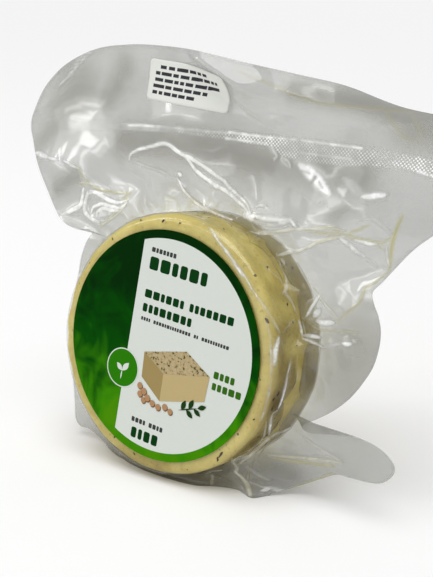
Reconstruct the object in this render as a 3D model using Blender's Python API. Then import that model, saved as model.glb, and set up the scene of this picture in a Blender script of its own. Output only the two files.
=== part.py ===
"""Fresh herb cheese wheel, vacuum packed in a clear pouch, standing on its rim.

The wheel leans back a little and rests on its back rim and on the pouch's lower
flap, which is folded forward under it. Metres, +Z up, the label faces -Y.
"""

import math

import bmesh
import bpy
import numpy as np
from mathutils import Matrix

MM = 0.001

# The cheese wheel
CHEESE_RADIUS = 47.5 * MM
CHEESE_DEPTH = 33.0 * MM
EDGE_RADIUS = 3.0 * MM
EDGE_STEPS = 3
LEAN = math.radians(8.3)

# The pouch: two sheets pressed together round the wheel, at half its depth
FLAP_THICKNESS = 1.0 * MM
FLAP_ROWS = 13
COLUMNS = 132
WEB_REACH = 3.5 * MM
WEB_REACH_BELOW = 9.0 * MM
WEB_HEIGHT = 2.6 * MM
WEB_HEIGHT_BELOW = 12.0 * MM
BELOW_ANGLE = -82.0
BELOW_HALF_WIDTH = 34.0
FLOOR_CONTACT = 0.8 * MM

# Film tents that climb the wall: angle in degrees, height on the wall, half width in degrees
TENTS = (
    (58.0, 3.5 * MM, 4.0),
    (31.0, 5.0 * MM, 5.0),
    (8.0, 3.0 * MM, 4.0),
    (-16.0, 4.5 * MM, 5.0),
    (-36.0, 4.0 * MM, 4.0),
    (148.0, 3.0 * MM, 5.0),
)

# Gentle waves of the flap: the two wave lengths and heights
WAVE_LENGTHS = (74.0 * MM, 46.0 * MM)
WAVE_HEIGHTS = (1.6 * MM, 0.8 * MM)
WAVE_START = 12.0 * MM
PLEATS = 17
PLEAT_HEIGHT = 0.7 * MM
PLEAT_REACH = 9.0 * MM

# Pouch outline, anticlockwise from the top as seen from the front: where on the rim
# the film comes from, in degrees, then across, up and forward of the wheel's centre, in mm
OUTLINE = (
    (93, -6, 105.6, 0.0), (102, -25, 106.7, 0.0), (111, -41, 106.3, 0.0), (119, -58, 104.2, -1.5),
    (126, -73, 98.2, -3.5), (132, -84.4, 89.3, -5.5), (137, -92, 79.5, -7.0), (141, -94.5, 72, -7.0),
    (144, -89.8, 64, -5.5), (148, -80.8, 50.5, -3.5), (152, -72, 39.5, -1.5), (154.5, -66, 34, -0.5),
    (157, -59, 31.5, 0.0), (160, -54, 28, 0.0), (164, -54.5, 22, 0.0), (169, -56.5, 15, 0.0),
    (178, -58, 4, 0.0), (188, -58.5, -8, 0.0), (199, -58, -20, 0.0), (211, -55.5, -34.5, 0.0),
    (217, -54.5, -42.5, 0.0), (221, -51.5, -45.8, 0.0), (226, -46.5, -46, 0.0), (233, -38.5, -48.8, 0.5),
    (241, -25.5, -50.6, 6.5), (251, -10.5, -51.4, 10.2), (262, 3.4, -51.5, 11.0), (274, 14, -51.3, 9.8),
    (282, 21, -50.6, 6.0), (288, 29, -50.0, 4.0), (293, 36.7, -50.7, 6.5), (298, 41, -49.3, 1.5),
    (306, 49.5, -45.4, -4.0), (312, 58.4, -40.3, -2.0), (317, 66.2, -36.1, 0.0), (321, 72, -35.5, 1.0),
    (324.5, 78.8, -35.1, 1.7), (327.5, 84.6, -33.8, 2.0), (330.5, 88.8, -30.2, 2.0), (333, 89.3, -26.3, 2.0),
    (335, 84.2, -22.6, 2.0), (336.3, 77, -21.1, 1.8), (337.3, 68.9, -21.3, 1.4), (338.3, 60.6, -22.6, 1.0),
    (339.7, 54, -23.6, 0.5), (342, 51, -21.9, 0.0), (345, 57, -17.9, 0.0), (348, 62.3, -14.1, 0.0),
    (352, 67.9, -8.7, 0.0), (356, 72.1, -2.6, -0.5), (361, 75.7, 4.3, -0.8), (367, 77.3, 10.9, -1.0),
    (373, 77.5, 16.7, -1.0), (379, 76.2, 21.7, -0.7), (384, 73.8, 25.8, -0.6), (388, 72.6, 29.5, -1.0),
    (391, 75.7, 33.6, -2.0), (394, 79.3, 38.8, -3.5), (397, 85, 46.1, -5.0), (400, 92.8, 53.7, -6.0),
    (404, 102, 65, -7.5), (408, 108, 79, -8.5), (413, 106, 87, -8.5), (419, 92.5, 89.3, -7.5),
    (425, 74, 91.7, -5.0), (431, 54.7, 97.1, -3.0), (438, 35.8, 99.7, -1.5), (446, 15, 102.3, -0.3),
)

# The round label on the front face
LABEL_RADIUS = 42.5 * MM
LABEL_THICKNESS = 0.3 * MM
LABEL_ACROSS = -1.0 * MM
LABEL_UP = -1.0 * MM
LABEL_SIDES = 96

# The lot sticker on the upper flap: width, height, centre and turn
STICKER_WIDTH = 37.0 * MM
STICKER_HEIGHT = 15.0 * MM
STICKER_ACROSS = -9.5 * MM
STICKER_UP = 93.0 * MM
STICKER_TURN = math.radians(-4.5)
STICKER_THICKNESS = 0.3 * MM
STICKER_CURL = 2.5 * MM
STICKER_CELLS = (14, 6)

GAP = 0.3 * MM

CENTRE_HEIGHT = CHEESE_RADIUS * math.cos(LEAN) + CHEESE_DEPTH / 2 * math.sin(LEAN)


def clear_scene():
    """Remove whatever the open file holds."""
    for old in list(bpy.data.objects):
        bpy.data.objects.remove(old, do_unlink=True)


def surface_material(name, colour, roughness, alpha=1.0):
    """A plain Principled material of the given colour."""
    material = bpy.data.materials.new(name)
    material.use_nodes = True
    shader = material.node_tree.nodes["Principled BSDF"]
    shader.inputs["Base Color"].default_value = (*colour, 1.0)
    shader.inputs["Roughness"].default_value = roughness
    shader.inputs["Metallic"].default_value = 0.0
    shader.inputs["Alpha"].default_value = alpha
    return material


def smooth_curve(points, samples):
    """A closed Catmull-Rom curve through the points, with the given samples per point."""
    previous = np.roll(points, 1, axis=0)
    following = np.roll(points, -1, axis=0)
    second = np.roll(points, -2, axis=0)
    t = (np.arange(samples) / samples)[:, None]
    pieces = []
    for before, start, end, after in zip(previous, points, following, second):
        bend = 2 * before - 5 * start + 4 * end - after
        twist = 3 * (start - end) + after - before
        pieces.append(start + 0.5 * t * ((end - before) + t * (bend + t * twist)))
    return np.concatenate(pieces)


def pouch_columns():
    """The rim angle and outline point of each column, evenly shared along both."""
    table = np.array(OUTLINE)
    outline = smooth_curve(table[:, 1:] * MM, 24)
    turns = np.append(table[:, 0], table[0, 0] + 360.0)
    angles = np.radians(np.interp(np.arange(len(outline)) / 24, np.arange(len(turns)), turns))
    closed = np.vstack([outline, outline[:1]])
    lengths = np.linalg.norm(np.diff(closed, axis=0), axis=1)
    steps = np.diff(np.append(angles, angles[0] + 2 * math.pi))
    share = np.cumsum(lengths / lengths.sum() + steps / steps.sum()) / 2
    share = np.insert(share, 0, 0.0)
    wanted = np.arange(COLUMNS) / COLUMNS
    column_angles = np.interp(wanted, share, np.append(angles, angles[0] + 2 * math.pi))
    column_points = np.stack([np.interp(wanted, share, closed[:, axis]) for axis in range(3)], axis=1)
    return column_angles, column_points


def angle_gap(angles, centre_degrees):
    """The angle from a given direction, in degrees between -180 and 180."""
    return (np.degrees(angles) - centre_degrees + 180.0) % 360.0 - 180.0


def below_share(angles):
    """1 under the wheel, where the flap is folded forward, and 0 round the rest."""
    return np.exp(-(angle_gap(angles, BELOW_ANGLE) / BELOW_HALF_WIDTH) ** 4)


def flap_wave(across, up):
    """The flap's gentle waves, forward, which start a little way out from the rim."""
    distance = np.hypot(across, up) - CHEESE_RADIUS
    start = np.clip((distance - WAVE_START) / (2 * WAVE_START), 0.0, 1.0)
    long_wave = WAVE_HEIGHTS[0] * np.sin(2 * math.pi * (across + 0.4 * up) / WAVE_LENGTHS[0])
    short_wave = WAVE_HEIGHTS[1] * np.sin(2 * math.pi * (0.3 * across - up) / WAVE_LENGTHS[1])
    return start * (long_wave + short_wave)


def film_pleats(angles, distance):
    """Small pleats that run out from the rim and die away."""
    return PLEAT_HEIGHT * np.cos(PLEATS * angles) * np.exp(-distance / PLEAT_REACH)


def flap_middle(angles, outline, share):
    """The flap's middle surface: straight from the rim to the outline, bending forward or back."""
    rim = CHEESE_RADIUS * np.stack([np.cos(angles), np.sin(angles)], axis=-1)
    flat = rim + share * (outline[:, :2] - rim)
    free = 1.0 - below_share(angles)
    length = np.linalg.norm(outline[:, :2] - rim, axis=1)
    forward = outline[:, 2] * share ** 1.5
    forward = forward + free * flap_wave(flat[:, 0], flat[:, 1])
    forward = forward + free * film_pleats(angles, share * length) * min(1.0, 4.0 * share)
    return np.column_stack([flat, forward])


def row_normals(rows):
    """Forward-facing unit normals of the flap's middle surface."""
    out = np.gradient(rows, axis=0)
    around = np.roll(rows, -1, axis=1) - np.roll(rows, 1, axis=1)
    normals = np.cross(out, around)
    return normals / np.linalg.norm(normals, axis=2, keepdims=True)


def lay_on_floor(points):
    """Bring what lies within the contact height down, or up, onto the floor."""
    height = CENTRE_HEIGHT + points[..., 1] * math.cos(LEAN) + points[..., 2] * math.sin(LEAN)
    resting = -(CENTRE_HEIGHT + points[..., 2] * math.sin(LEAN)) / math.cos(LEAN)
    points[..., 1] = np.where(height < FLOOR_CONTACT, resting, points[..., 1])
    return points


def side_rings(angles, middle, normals, side, web_heights, web_powers):
    """Rings of one side, front (+1) or back (-1), from its face out to the pouch's edge."""
    half_depth = CHEESE_DEPTH / 2
    rings = []
    for step in range(EDGE_STEPS + 1):
        turn = 0.5 * math.pi * step / EDGE_STEPS
        radius = CHEESE_RADIUS - EDGE_RADIUS * (1.0 - math.sin(turn))
        forward = side * (half_depth - EDGE_RADIUS * (1.0 - math.cos(turn)))
        rings.append(ring_at(angles, radius, np.full(len(angles), forward)))
    forward_axis = np.array([0.0, 0.0, 1.0])
    for share, row, normal in zip(np.linspace(0.0, 1.0, FLAP_ROWS) ** 1.4, middle, normals):
        web = (web_heights - FLAP_THICKNESS / 2) * (1.0 - share) ** web_powers
        direction = (1.0 - share) * forward_axis + share * normal
        rings.append(row + side * direction * (FLAP_THICKNESS / 2 + web)[:, None])
    return rings


def ring_at(angles, radius, forward):
    """A ring round the wheel's axis."""
    return np.column_stack([radius * np.cos(angles), radius * np.sin(angles), forward])


def pouch_mesh(name):
    """The packed wheel and its flap as one closed skin, from the front face to the back face."""
    angles, outline = pouch_columns()
    shares = np.linspace(0.0, 1.0, FLAP_ROWS) ** 1.4
    middle = np.stack([flap_middle(angles, outline, share) for share in shares])
    normals = row_normals(middle)
    below = below_share(angles)
    web_heights = WEB_HEIGHT + below * (WEB_HEIGHT_BELOW - WEB_HEIGHT)
    for centre, height, half_width in TENTS:
        web_heights = web_heights + height * np.exp(-(angle_gap(angles, centre) / half_width) ** 2)
    lengths = np.linalg.norm(middle[-1] - middle[0], axis=1)
    web_powers = np.maximum(lengths / (WEB_REACH + below * (WEB_REACH_BELOW - WEB_REACH)), 1.0)

    front = side_rings(angles, middle, normals, 1.0, web_heights, web_powers)
    back = side_rings(angles, middle, normals, -1.0, web_heights, web_powers)
    rings = lay_on_floor(np.stack(front + back[::-1]))
    front_pole = np.array([0.0, 0.0, CHEESE_DEPTH / 2])
    back_pole = np.array([0.0, 0.0, -CHEESE_DEPTH / 2])
    points = np.vstack([rings.reshape(-1, 3), front_pole, back_pole])

    count = len(rings)
    faces = []
    for ring in range(count - 1):
        for column in range(COLUMNS):
            following = (column + 1) % COLUMNS
            inner = ring * COLUMNS
            outer = inner + COLUMNS
            faces.append((inner + column, outer + column, outer + following, inner + following))
    last = (count - 1) * COLUMNS
    front_index = count * COLUMNS
    for column in range(COLUMNS):
        following = (column + 1) % COLUMNS
        faces.append((front_index, column, following))
        faces.append((front_index + 1, last + following, last + column))

    mesh = bpy.data.meshes.new(name)
    mesh.from_pydata(standing(points).tolist(), [], faces)
    mesh.validate()
    return mesh


def standing(points):
    """From across, up and forward of the wheel to x, y, z before it leans back."""
    return np.column_stack([points[:, 0], -points[:, 2], points[:, 1]])


def add_object(name, mesh, material, parent):
    """Link a mesh into the scene under its own name and material."""
    mesh.materials.append(material)
    mesh.shade_smooth()
    mesh.set_sharp_from_angle(angle=math.radians(40.0))
    made = bpy.data.objects.new(name, mesh)
    made.parent = parent
    bpy.context.collection.objects.link(made)
    return made


def label_mesh(name):
    """A thin round disc, just in front of the front face."""
    shape = bmesh.new()
    bmesh.ops.create_cone(
        shape, cap_ends=True, segments=LABEL_SIDES,
        radius1=LABEL_RADIUS, radius2=LABEL_RADIUS, depth=LABEL_THICKNESS,
    )
    forward = CHEESE_DEPTH / 2 + GAP + LABEL_THICKNESS / 2
    place = Matrix.Translation((LABEL_ACROSS, -forward, LABEL_UP))
    bmesh.ops.transform(shape, matrix=place @ Matrix.Rotation(math.pi / 2, 4, "X"), verts=shape.verts)
    mesh = bpy.data.meshes.new(name)
    shape.to_mesh(mesh)
    shape.free()
    return mesh


def sticker_mesh(name):
    """A small sheet that follows the upper flap, with its top right corner curling forward."""
    shape = bmesh.new()
    bmesh.ops.create_grid(shape, x_segments=STICKER_CELLS[0], y_segments=STICKER_CELLS[1], size=0.5)
    for vert in shape.verts:
        across_share = vert.co.x
        up_share = vert.co.y
        along = across_share * STICKER_WIDTH
        rise = up_share * STICKER_HEIGHT
        across = STICKER_ACROSS + along * math.cos(STICKER_TURN) - rise * math.sin(STICKER_TURN)
        up = STICKER_UP + along * math.sin(STICKER_TURN) + rise * math.cos(STICKER_TURN)
        corner = max(0.0, across_share + up_share - 0.55) / 0.45
        forward = FLAP_THICKNESS / 2 + 2 * GAP + flap_wave(across, up) + STICKER_CURL * corner ** 2
        vert.co = (across, -forward, up)
    bmesh.ops.recalc_face_normals(shape, faces=shape.faces)
    if sum(face.normal.y * face.calc_area() for face in shape.faces) > 0:
        bmesh.ops.reverse_faces(shape, faces=shape.faces)
    mesh = bpy.data.meshes.new(name)
    shape.to_mesh(mesh)
    shape.free()
    return mesh


def stand_pack(axis, parts):
    """Lean the wheel back and put the origin on the floor under the pack's middle."""
    axis.rotation_euler = (-LEAN, 0.0, 0.0)
    axis.location = (0.0, 0.0, CENTRE_HEIGHT)
    bpy.context.view_layer.update()
    corners = np.concatenate([
        [(part.matrix_world @ vert.co)[:] for vert in part.data.vertices] for part in parts
    ])
    middle = (corners.min(axis=0) + corners.max(axis=0)) / 2
    axis.location = (-middle[0], -middle[1], CENTRE_HEIGHT)


clear_scene()

wheel_axis = bpy.data.objects.new("wheel_axis", None)
bpy.context.collection.objects.link(wheel_axis)

pouch = add_object(
    "vacuum_bag", pouch_mesh("vacuum_bag"),
    surface_material("packed cheese", (0.80, 0.70, 0.42), 0.35), wheel_axis,
)
label = add_object(
    "face_label", label_mesh("face_label"),
    surface_material("label paper", (0.06, 0.28, 0.02), 0.40), wheel_axis,
)
sticker = add_object(
    "lot_sticker", sticker_mesh("lot_sticker"),
    surface_material("sticker paper", (0.86, 0.86, 0.86), 0.55), wheel_axis,
)
sheet = sticker.modifiers.new("thickness", "SOLIDIFY")
sheet.thickness = STICKER_THICKNESS
sheet.offset = 1.0

stand_pack(wheel_axis, (pouch, label, sticker))
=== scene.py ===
"""Fresh herb cheese wheel, vacuum packed in a clear pouch with a round face label."""

import math

import bpy
import numpy as np
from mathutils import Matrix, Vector


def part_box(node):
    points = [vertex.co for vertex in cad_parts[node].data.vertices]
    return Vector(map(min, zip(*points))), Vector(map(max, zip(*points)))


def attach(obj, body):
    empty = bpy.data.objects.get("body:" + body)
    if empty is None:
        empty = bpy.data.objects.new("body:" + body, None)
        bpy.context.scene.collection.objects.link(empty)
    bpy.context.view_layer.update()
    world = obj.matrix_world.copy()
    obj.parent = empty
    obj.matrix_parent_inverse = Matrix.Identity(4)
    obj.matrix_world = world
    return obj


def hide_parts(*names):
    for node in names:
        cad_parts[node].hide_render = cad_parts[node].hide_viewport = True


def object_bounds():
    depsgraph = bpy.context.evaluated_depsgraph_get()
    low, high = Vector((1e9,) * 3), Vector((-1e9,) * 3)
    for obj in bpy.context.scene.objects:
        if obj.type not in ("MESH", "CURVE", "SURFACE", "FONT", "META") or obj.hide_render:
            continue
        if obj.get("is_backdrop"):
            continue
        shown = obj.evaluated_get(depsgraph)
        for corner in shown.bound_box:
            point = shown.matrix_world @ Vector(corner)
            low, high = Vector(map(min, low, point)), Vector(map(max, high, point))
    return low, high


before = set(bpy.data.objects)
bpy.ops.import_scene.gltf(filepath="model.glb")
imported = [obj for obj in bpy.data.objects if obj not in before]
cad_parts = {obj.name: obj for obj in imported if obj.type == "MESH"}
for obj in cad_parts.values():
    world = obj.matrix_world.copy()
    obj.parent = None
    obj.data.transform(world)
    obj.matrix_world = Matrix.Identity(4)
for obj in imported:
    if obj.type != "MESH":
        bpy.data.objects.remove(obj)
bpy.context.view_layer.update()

# The cheese wheel
# A soft, pressed wheel of cream-coloured curd with dried herbs stirred in.
# It is turned out of a round mould, so its sides are smooth with softly rounded edges.
MM = 0.001
WHEEL_RADIUS = 47.5
WHEEL_DEPTH = 33.0
EDGE_RADIUS = 3.0
LEAN = math.radians(8.3)
LABEL_ACROSS = -1.0
LABEL_UP = -1.0
LABEL_FORWARD = WHEEL_DEPTH / 2 + 0.45
UNDER_FILM = 0.25
BULGE = 2.2
BULGE_ANGLE = 228.0
BULGE_HALF_WIDTH = 65.0
BULGE_START = 36.0
BULGE_RISE = 8.0
BULGE_END = 60.0
BULGE_FALL = 12.0
CHEESE_COLUMNS = 360
LUMP_SIZE = 13.0
LUMP_HEIGHT = 0.22
CREAM = (0.69, 0.56, 0.140)
CREAM_DEEP = (0.56, 0.42, 0.09)
CREAM_PALE = (0.79, 0.65, 0.20)
CREAM_PORE = (0.40, 0.29, 0.07)
HERB_DUST = (0.16, 0.14, 0.05)
PATCH_SCALE = 60.0
PORE_SCALE = 700.0
GRAIN_SCALE = 420.0
DUST_SCALE = 290.0
DUST_REACH = 0.17
DUST_SHARE = 0.10

ACROSS_AXIS = np.array([1.0, 0.0, 0.0])
UP_AXIS = np.array([0.0, math.sin(LEAN), math.cos(LEAN)])
FORWARD_AXIS = np.array([0.0, -math.cos(LEAN), math.sin(LEAN)])
WHEEL_AXES = np.stack([ACROSS_AXIS, UP_AXIS, FORWARD_AXIS])
label_low, label_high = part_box("face_label")
label_centre = (np.array(label_low) + np.array(label_high)) / 2
wheel_centre = label_centre - MM * (
    LABEL_ACROSS * ACROSS_AXIS + LABEL_UP * UP_AXIS + LABEL_FORWARD * FORWARD_AXIS
)


def bulged(points):
    """Swell the wheel's lower left, most in front: across and up grow by exp(-(angle gap / width) ** 4)."""
    angle = np.degrees(np.arctan2(points[..., 1], points[..., 0])) - BULGE_ANGLE
    angle = (angle + 180.0) % 360.0 - 180.0
    radius = np.hypot(points[..., 0], points[..., 1])
    near_rim = np.clip((radius - BULGE_START) / BULGE_RISE, 0.0, 1.0)
    near_rim = near_rim * np.clip((BULGE_END - radius) / BULGE_FALL, 0.0, 1.0)
    front = np.clip(0.5 + points[..., 2] / WHEEL_DEPTH, 0.0, 1.0)
    growth = 1.0 + BULGE / WHEEL_RADIUS * np.exp(-(angle / BULGE_HALF_WIDTH) ** 4) * near_rim * front
    return points * np.stack([growth, growth, np.ones_like(growth)], axis=-1)


def in_place(points):
    """Wheel millimetres to metres: centre + across, up and forward times their leaning axes."""
    return wheel_centre + MM * (points @ WHEEL_AXES)


def ring_faces(rows, columns, closed):
    """Quads between neighbouring rows and columns; the last column meets the first if closed."""
    row = np.arange(rows - 1)[:, None] * columns
    column = np.arange(columns if closed else columns - 1)[None, :]
    following = (column + 1) % columns
    corners = [row + column, row + columns + column, row + columns + following, row + following]
    return np.stack(corners, axis=-1).reshape(-1, 4)


def pole_faces(ring, columns, pole, forward):
    """Triangles from one ring to its pole, wound to face forward or back."""
    column = np.arange(columns)
    following = (column + 1) % columns
    first, second = (column, following) if forward else (following, column)
    return np.stack([np.full(columns, pole), ring + first, ring + second], axis=-1)


def build_piece(name, points, faces, material, node=None, values=None, smooth=True, normals=None):
    """One mesh object at the origin, riding on the pack, with point values and normals where given."""
    mesh = bpy.data.meshes.new(name)
    mesh.from_pydata(in_place(points).tolist(), [], [list(map(int, face)) for face in faces])
    for key, data in (values or {}).items():
        layer = mesh.attributes.new(key, "FLOAT", "POINT")
        layer.data.foreach_set("value", np.asarray(data, dtype=np.float32).ravel())
    mesh.materials.append(material)
    if smooth:
        mesh.shade_smooth()
    if normals is not None:
        mesh.normals_split_custom_set_from_vertices((normals @ WHEEL_AXES).tolist())
    piece = bpy.data.objects.new(name, mesh)
    bpy.context.collection.objects.link(piece)
    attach(piece, "root")
    if node:
        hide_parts(node)
    return piece


# Random fields of sine waves: how many, their sizes as shares of the field's, and the divisor of their sum
FIELD_WAVES = 8
WAVE_SPREAD = (0.7, 1.5)
FIELD_LEVEL = 3.2


def soft_field(points, size, seed):
    """Smooth random field: eight sine waves in seeded directions, of about the given size, from -1 to 1."""
    draw = np.random.default_rng(seed)
    total = np.zeros(points.shape[:-1])
    for _ in range(FIELD_WAVES):
        direction = draw.normal(size=points.shape[-1])
        direction /= np.linalg.norm(direction)
        wave = size * draw.uniform(*WAVE_SPREAD)
        total += np.sin(points @ direction * 2 * math.pi / wave + draw.uniform(0, 2 * math.pi))
    return total / FIELD_LEVEL


def wheel_profile(radius, depth, edge, face_steps, edge_steps, wall_steps):
    """Radius and forward position down the wheel's outline: front face, edge, wall, edge, back face."""
    half = depth / 2
    face_out = np.linspace(0.12, 1.0, face_steps) * (radius - edge)
    turn = np.linspace(0, math.pi / 2, edge_steps + 1)[1:]
    edge_radius = radius - edge * (1 - np.sin(turn))
    edge_forward = half - edge * (1 - np.cos(turn))
    wall = np.linspace(half - edge, -(half - edge), wall_steps + 1)[1:-1]
    radii = np.concatenate([
        face_out, edge_radius, np.full(len(wall), radius), edge_radius[::-1], face_out[::-1],
    ])
    forward = np.concatenate([
        np.full(face_steps, half), edge_forward, wall, -edge_forward[::-1], np.full(face_steps, -half),
    ])
    return radii, forward


def turned(radii, forward, columns):
    """A profile turned about the wheel's axis: (radius cos angle, radius sin angle, forward)."""
    angle = np.arange(columns) * 2 * math.pi / columns
    across = radii[:, None] * np.cos(angle)
    up = radii[:, None] * np.sin(angle)
    return np.stack([across, up, np.broadcast_to(forward[:, None], across.shape)], axis=-1)


def new_material(name):
    """An empty node material with its output; returns the material, its nodes, links and output."""
    material = bpy.data.materials.new(name)
    material.use_nodes = True
    tree = material.node_tree
    tree.nodes.clear()
    output = tree.nodes.new("ShaderNodeOutputMaterial")
    return material, tree.nodes, tree.links, output


def noise_node(nodes, links, source, scale, detail=3.0, roughness=0.55, distortion=0.0):
    """A noise texture on the given coordinates."""
    noise = nodes.new("ShaderNodeTexNoise")
    noise.inputs["Scale"].default_value = scale
    noise.inputs["Detail"].default_value = detail
    noise.inputs["Roughness"].default_value = roughness
    noise.inputs["Distortion"].default_value = distortion
    links.new(source, noise.inputs["Vector"])
    return noise.outputs["Fac"]


def ramp_node(nodes, links, source, stops):
    """A colour ramp from (position, colour) stops."""
    ramp = nodes.new("ShaderNodeValToRGB")
    elements = ramp.color_ramp.elements
    elements[0].position, elements[0].color = stops[0][0], (*stops[0][1], 1.0)
    elements[1].position, elements[1].color = stops[-1][0], (*stops[-1][1], 1.0)
    for position, colour in stops[1:-1]:
        middle = elements.new(position)
        middle.color = (*colour, 1.0)
    links.new(source, ramp.inputs["Fac"])
    return ramp.outputs["Color"]


def mixed_colour(nodes, links, factor, first, second):
    """A mix of two colours, each a socket or a plain colour."""
    mix = nodes.new("ShaderNodeMix")
    mix.data_type = "RGBA"
    links.new(factor, mix.inputs["Factor"])
    for value, socket in ((first, mix.inputs["A"]), (second, mix.inputs["B"])):
        if isinstance(value, tuple):
            socket.default_value = (*value, 1.0)
        else:
            links.new(value, socket)
    return mix.outputs["Result"]


def bump_node(nodes, links, height, strength, distance):
    """A bump from a height."""
    bump = nodes.new("ShaderNodeBump")
    bump.inputs["Strength"].default_value = strength
    bump.inputs["Distance"].default_value = distance
    links.new(height, bump.inputs["Height"])
    return bump.outputs["Normal"]


def math_node(nodes, links, operation, first, second=None, third=None):
    """A math node whose inputs are sockets or plain numbers."""
    node = nodes.new("ShaderNodeMath")
    node.operation = operation
    for index, value in enumerate((first, second, third)):
        if value is None:
            continue
        if isinstance(value, (int, float)):
            node.inputs[index].default_value = value
        else:
            links.new(value, node.inputs[index])
    return node.outputs["Value"]


def cheese_material():
    """Cream curd: three creams mixed by soft noise, with fine pores, and herb dust where cells draw low."""
    material, nodes, links, output = new_material("cream curd")
    place = nodes.new("ShaderNodeTexCoord").outputs["Object"]
    broad = noise_node(nodes, links, place, PATCH_SCALE, 6.0, 0.68, 0.4)
    colour = ramp_node(nodes, links, broad, ((0.36, CREAM_DEEP), (0.50, CREAM), (0.62, CREAM_PALE)))
    pores = noise_node(nodes, links, place, PORE_SCALE, 2.0)
    pitted = ramp_node(nodes, links, pores, ((0.60, (0.0, 0.0, 0.0)), (0.72, (0.6, 0.6, 0.6))))
    colour = mixed_colour(nodes, links, pitted, colour, CREAM_PORE)
    cells = nodes.new("ShaderNodeTexVoronoi")
    cells.inputs["Scale"].default_value = DUST_SCALE
    links.new(place, cells.inputs["Vector"])
    near = math_node(nodes, links, "LESS_THAN", cells.outputs["Distance"], DUST_REACH)
    split = nodes.new("ShaderNodeSeparateColor")
    links.new(cells.outputs["Color"], split.inputs["Color"])
    drawn = math_node(nodes, links, "LESS_THAN", split.outputs["Red"], DUST_SHARE)
    dust = math_node(nodes, links, "MULTIPLY", near, drawn)
    speckled = mixed_colour(nodes, links, dust, colour, HERB_DUST)
    grain = noise_node(nodes, links, place, GRAIN_SCALE, 3.0)
    shader = nodes.new("ShaderNodeBsdfPrincipled")
    shader.inputs["Roughness"].default_value = 0.5
    shader.inputs["Subsurface Weight"].default_value = 0.18
    shader.inputs["Subsurface Radius"].default_value = (1.0, 0.7, 0.3)
    shader.inputs["Subsurface Scale"].default_value = 0.003
    links.new(speckled, shader.inputs["Base Color"])
    links.new(bump_node(nodes, links, grain, 0.25, 0.0004), shader.inputs["Normal"])
    links.new(shader.outputs["BSDF"], output.inputs["Surface"])
    return material


cheese_radii, cheese_forward = wheel_profile(
    WHEEL_RADIUS - UNDER_FILM, WHEEL_DEPTH - 2 * UNDER_FILM, EDGE_RADIUS, 10, 8, 26
)
cheese_rows = turned(cheese_radii, cheese_forward, CHEESE_COLUMNS)
lumps = 1.0 + LUMP_HEIGHT * (soft_field(cheese_rows, LUMP_SIZE, 3) - 1.0)[..., None] / WHEEL_RADIUS
cheese_rows = bulged(cheese_rows * lumps)
cheese_front = np.array([[0.0, 0.0, WHEEL_DEPTH / 2 - UNDER_FILM]])
cheese_points = np.concatenate([cheese_rows.reshape(-1, 3), cheese_front, -cheese_front])
cheese_last = (len(cheese_rows) - 1) * CHEESE_COLUMNS
cheese_faces = [
    *ring_faces(len(cheese_rows), CHEESE_COLUMNS, True),
    *pole_faces(0, CHEESE_COLUMNS, len(cheese_points) - 2, True),
    *pole_faces(cheese_last, CHEESE_COLUMNS, len(cheese_points) - 1, False),
]
cheese = build_piece("cheese_wheel", cheese_points, cheese_faces, cheese_material(), "vacuum_bag")

# The herb flecks
# Scraps of dried leaf that lie in the curd's surface, dark green-brown and uneven.
# The large ones sit where they show beside the label and on the side wall; the rest are scattered.
FLECK_SIDES = 9
FLECK_RISE = 0.14
FLECK_SINK = 0.12
FLECK_DEPTH = 0.5
SMALLEST_FLECK = 0.15
FLECK_SPREAD = 0.5
BACK_REACH = 44.2
FLECKS_ON_FACE = (
    (110, 46.0, 0.7), (97, 44.6, 1.0), (87, 44.6, 0.6), (129, 44.6, 0.7), (160, 45.4, 0.8),
    (-117, 44.8, 1.2), (-103, 45.6, 1.0), (-51, 44.8, 1.5), (-54, 45.8, 1.1), (148, 45.5, 0.4),
    (21, 45.2, 1.1), (-149, 45.0, 0.6), (-93, 45.3, 0.5), (-25, 44.9, 0.6), (-176, 44.9, 0.4),
)
FLECKS_ON_WALL = (
    (44, 5.7, 0.8), (73, -5.8, 0.9), (45, -4.5, 0.6), (26, 3.7, 0.9), (42, -9.6, 0.8),
    (-12, 10.5, 1.0), (-14, 12.6, 0.8), (-19, 11.2, 0.9), (60, 11.0, 0.5), (8, 2.0, 0.6),
)
LOOSE_FLECKS = 110
HERB_GREEN = (0.030, 0.026, 0.006)
HERB_BROWN = (0.090, 0.056, 0.014)


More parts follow.
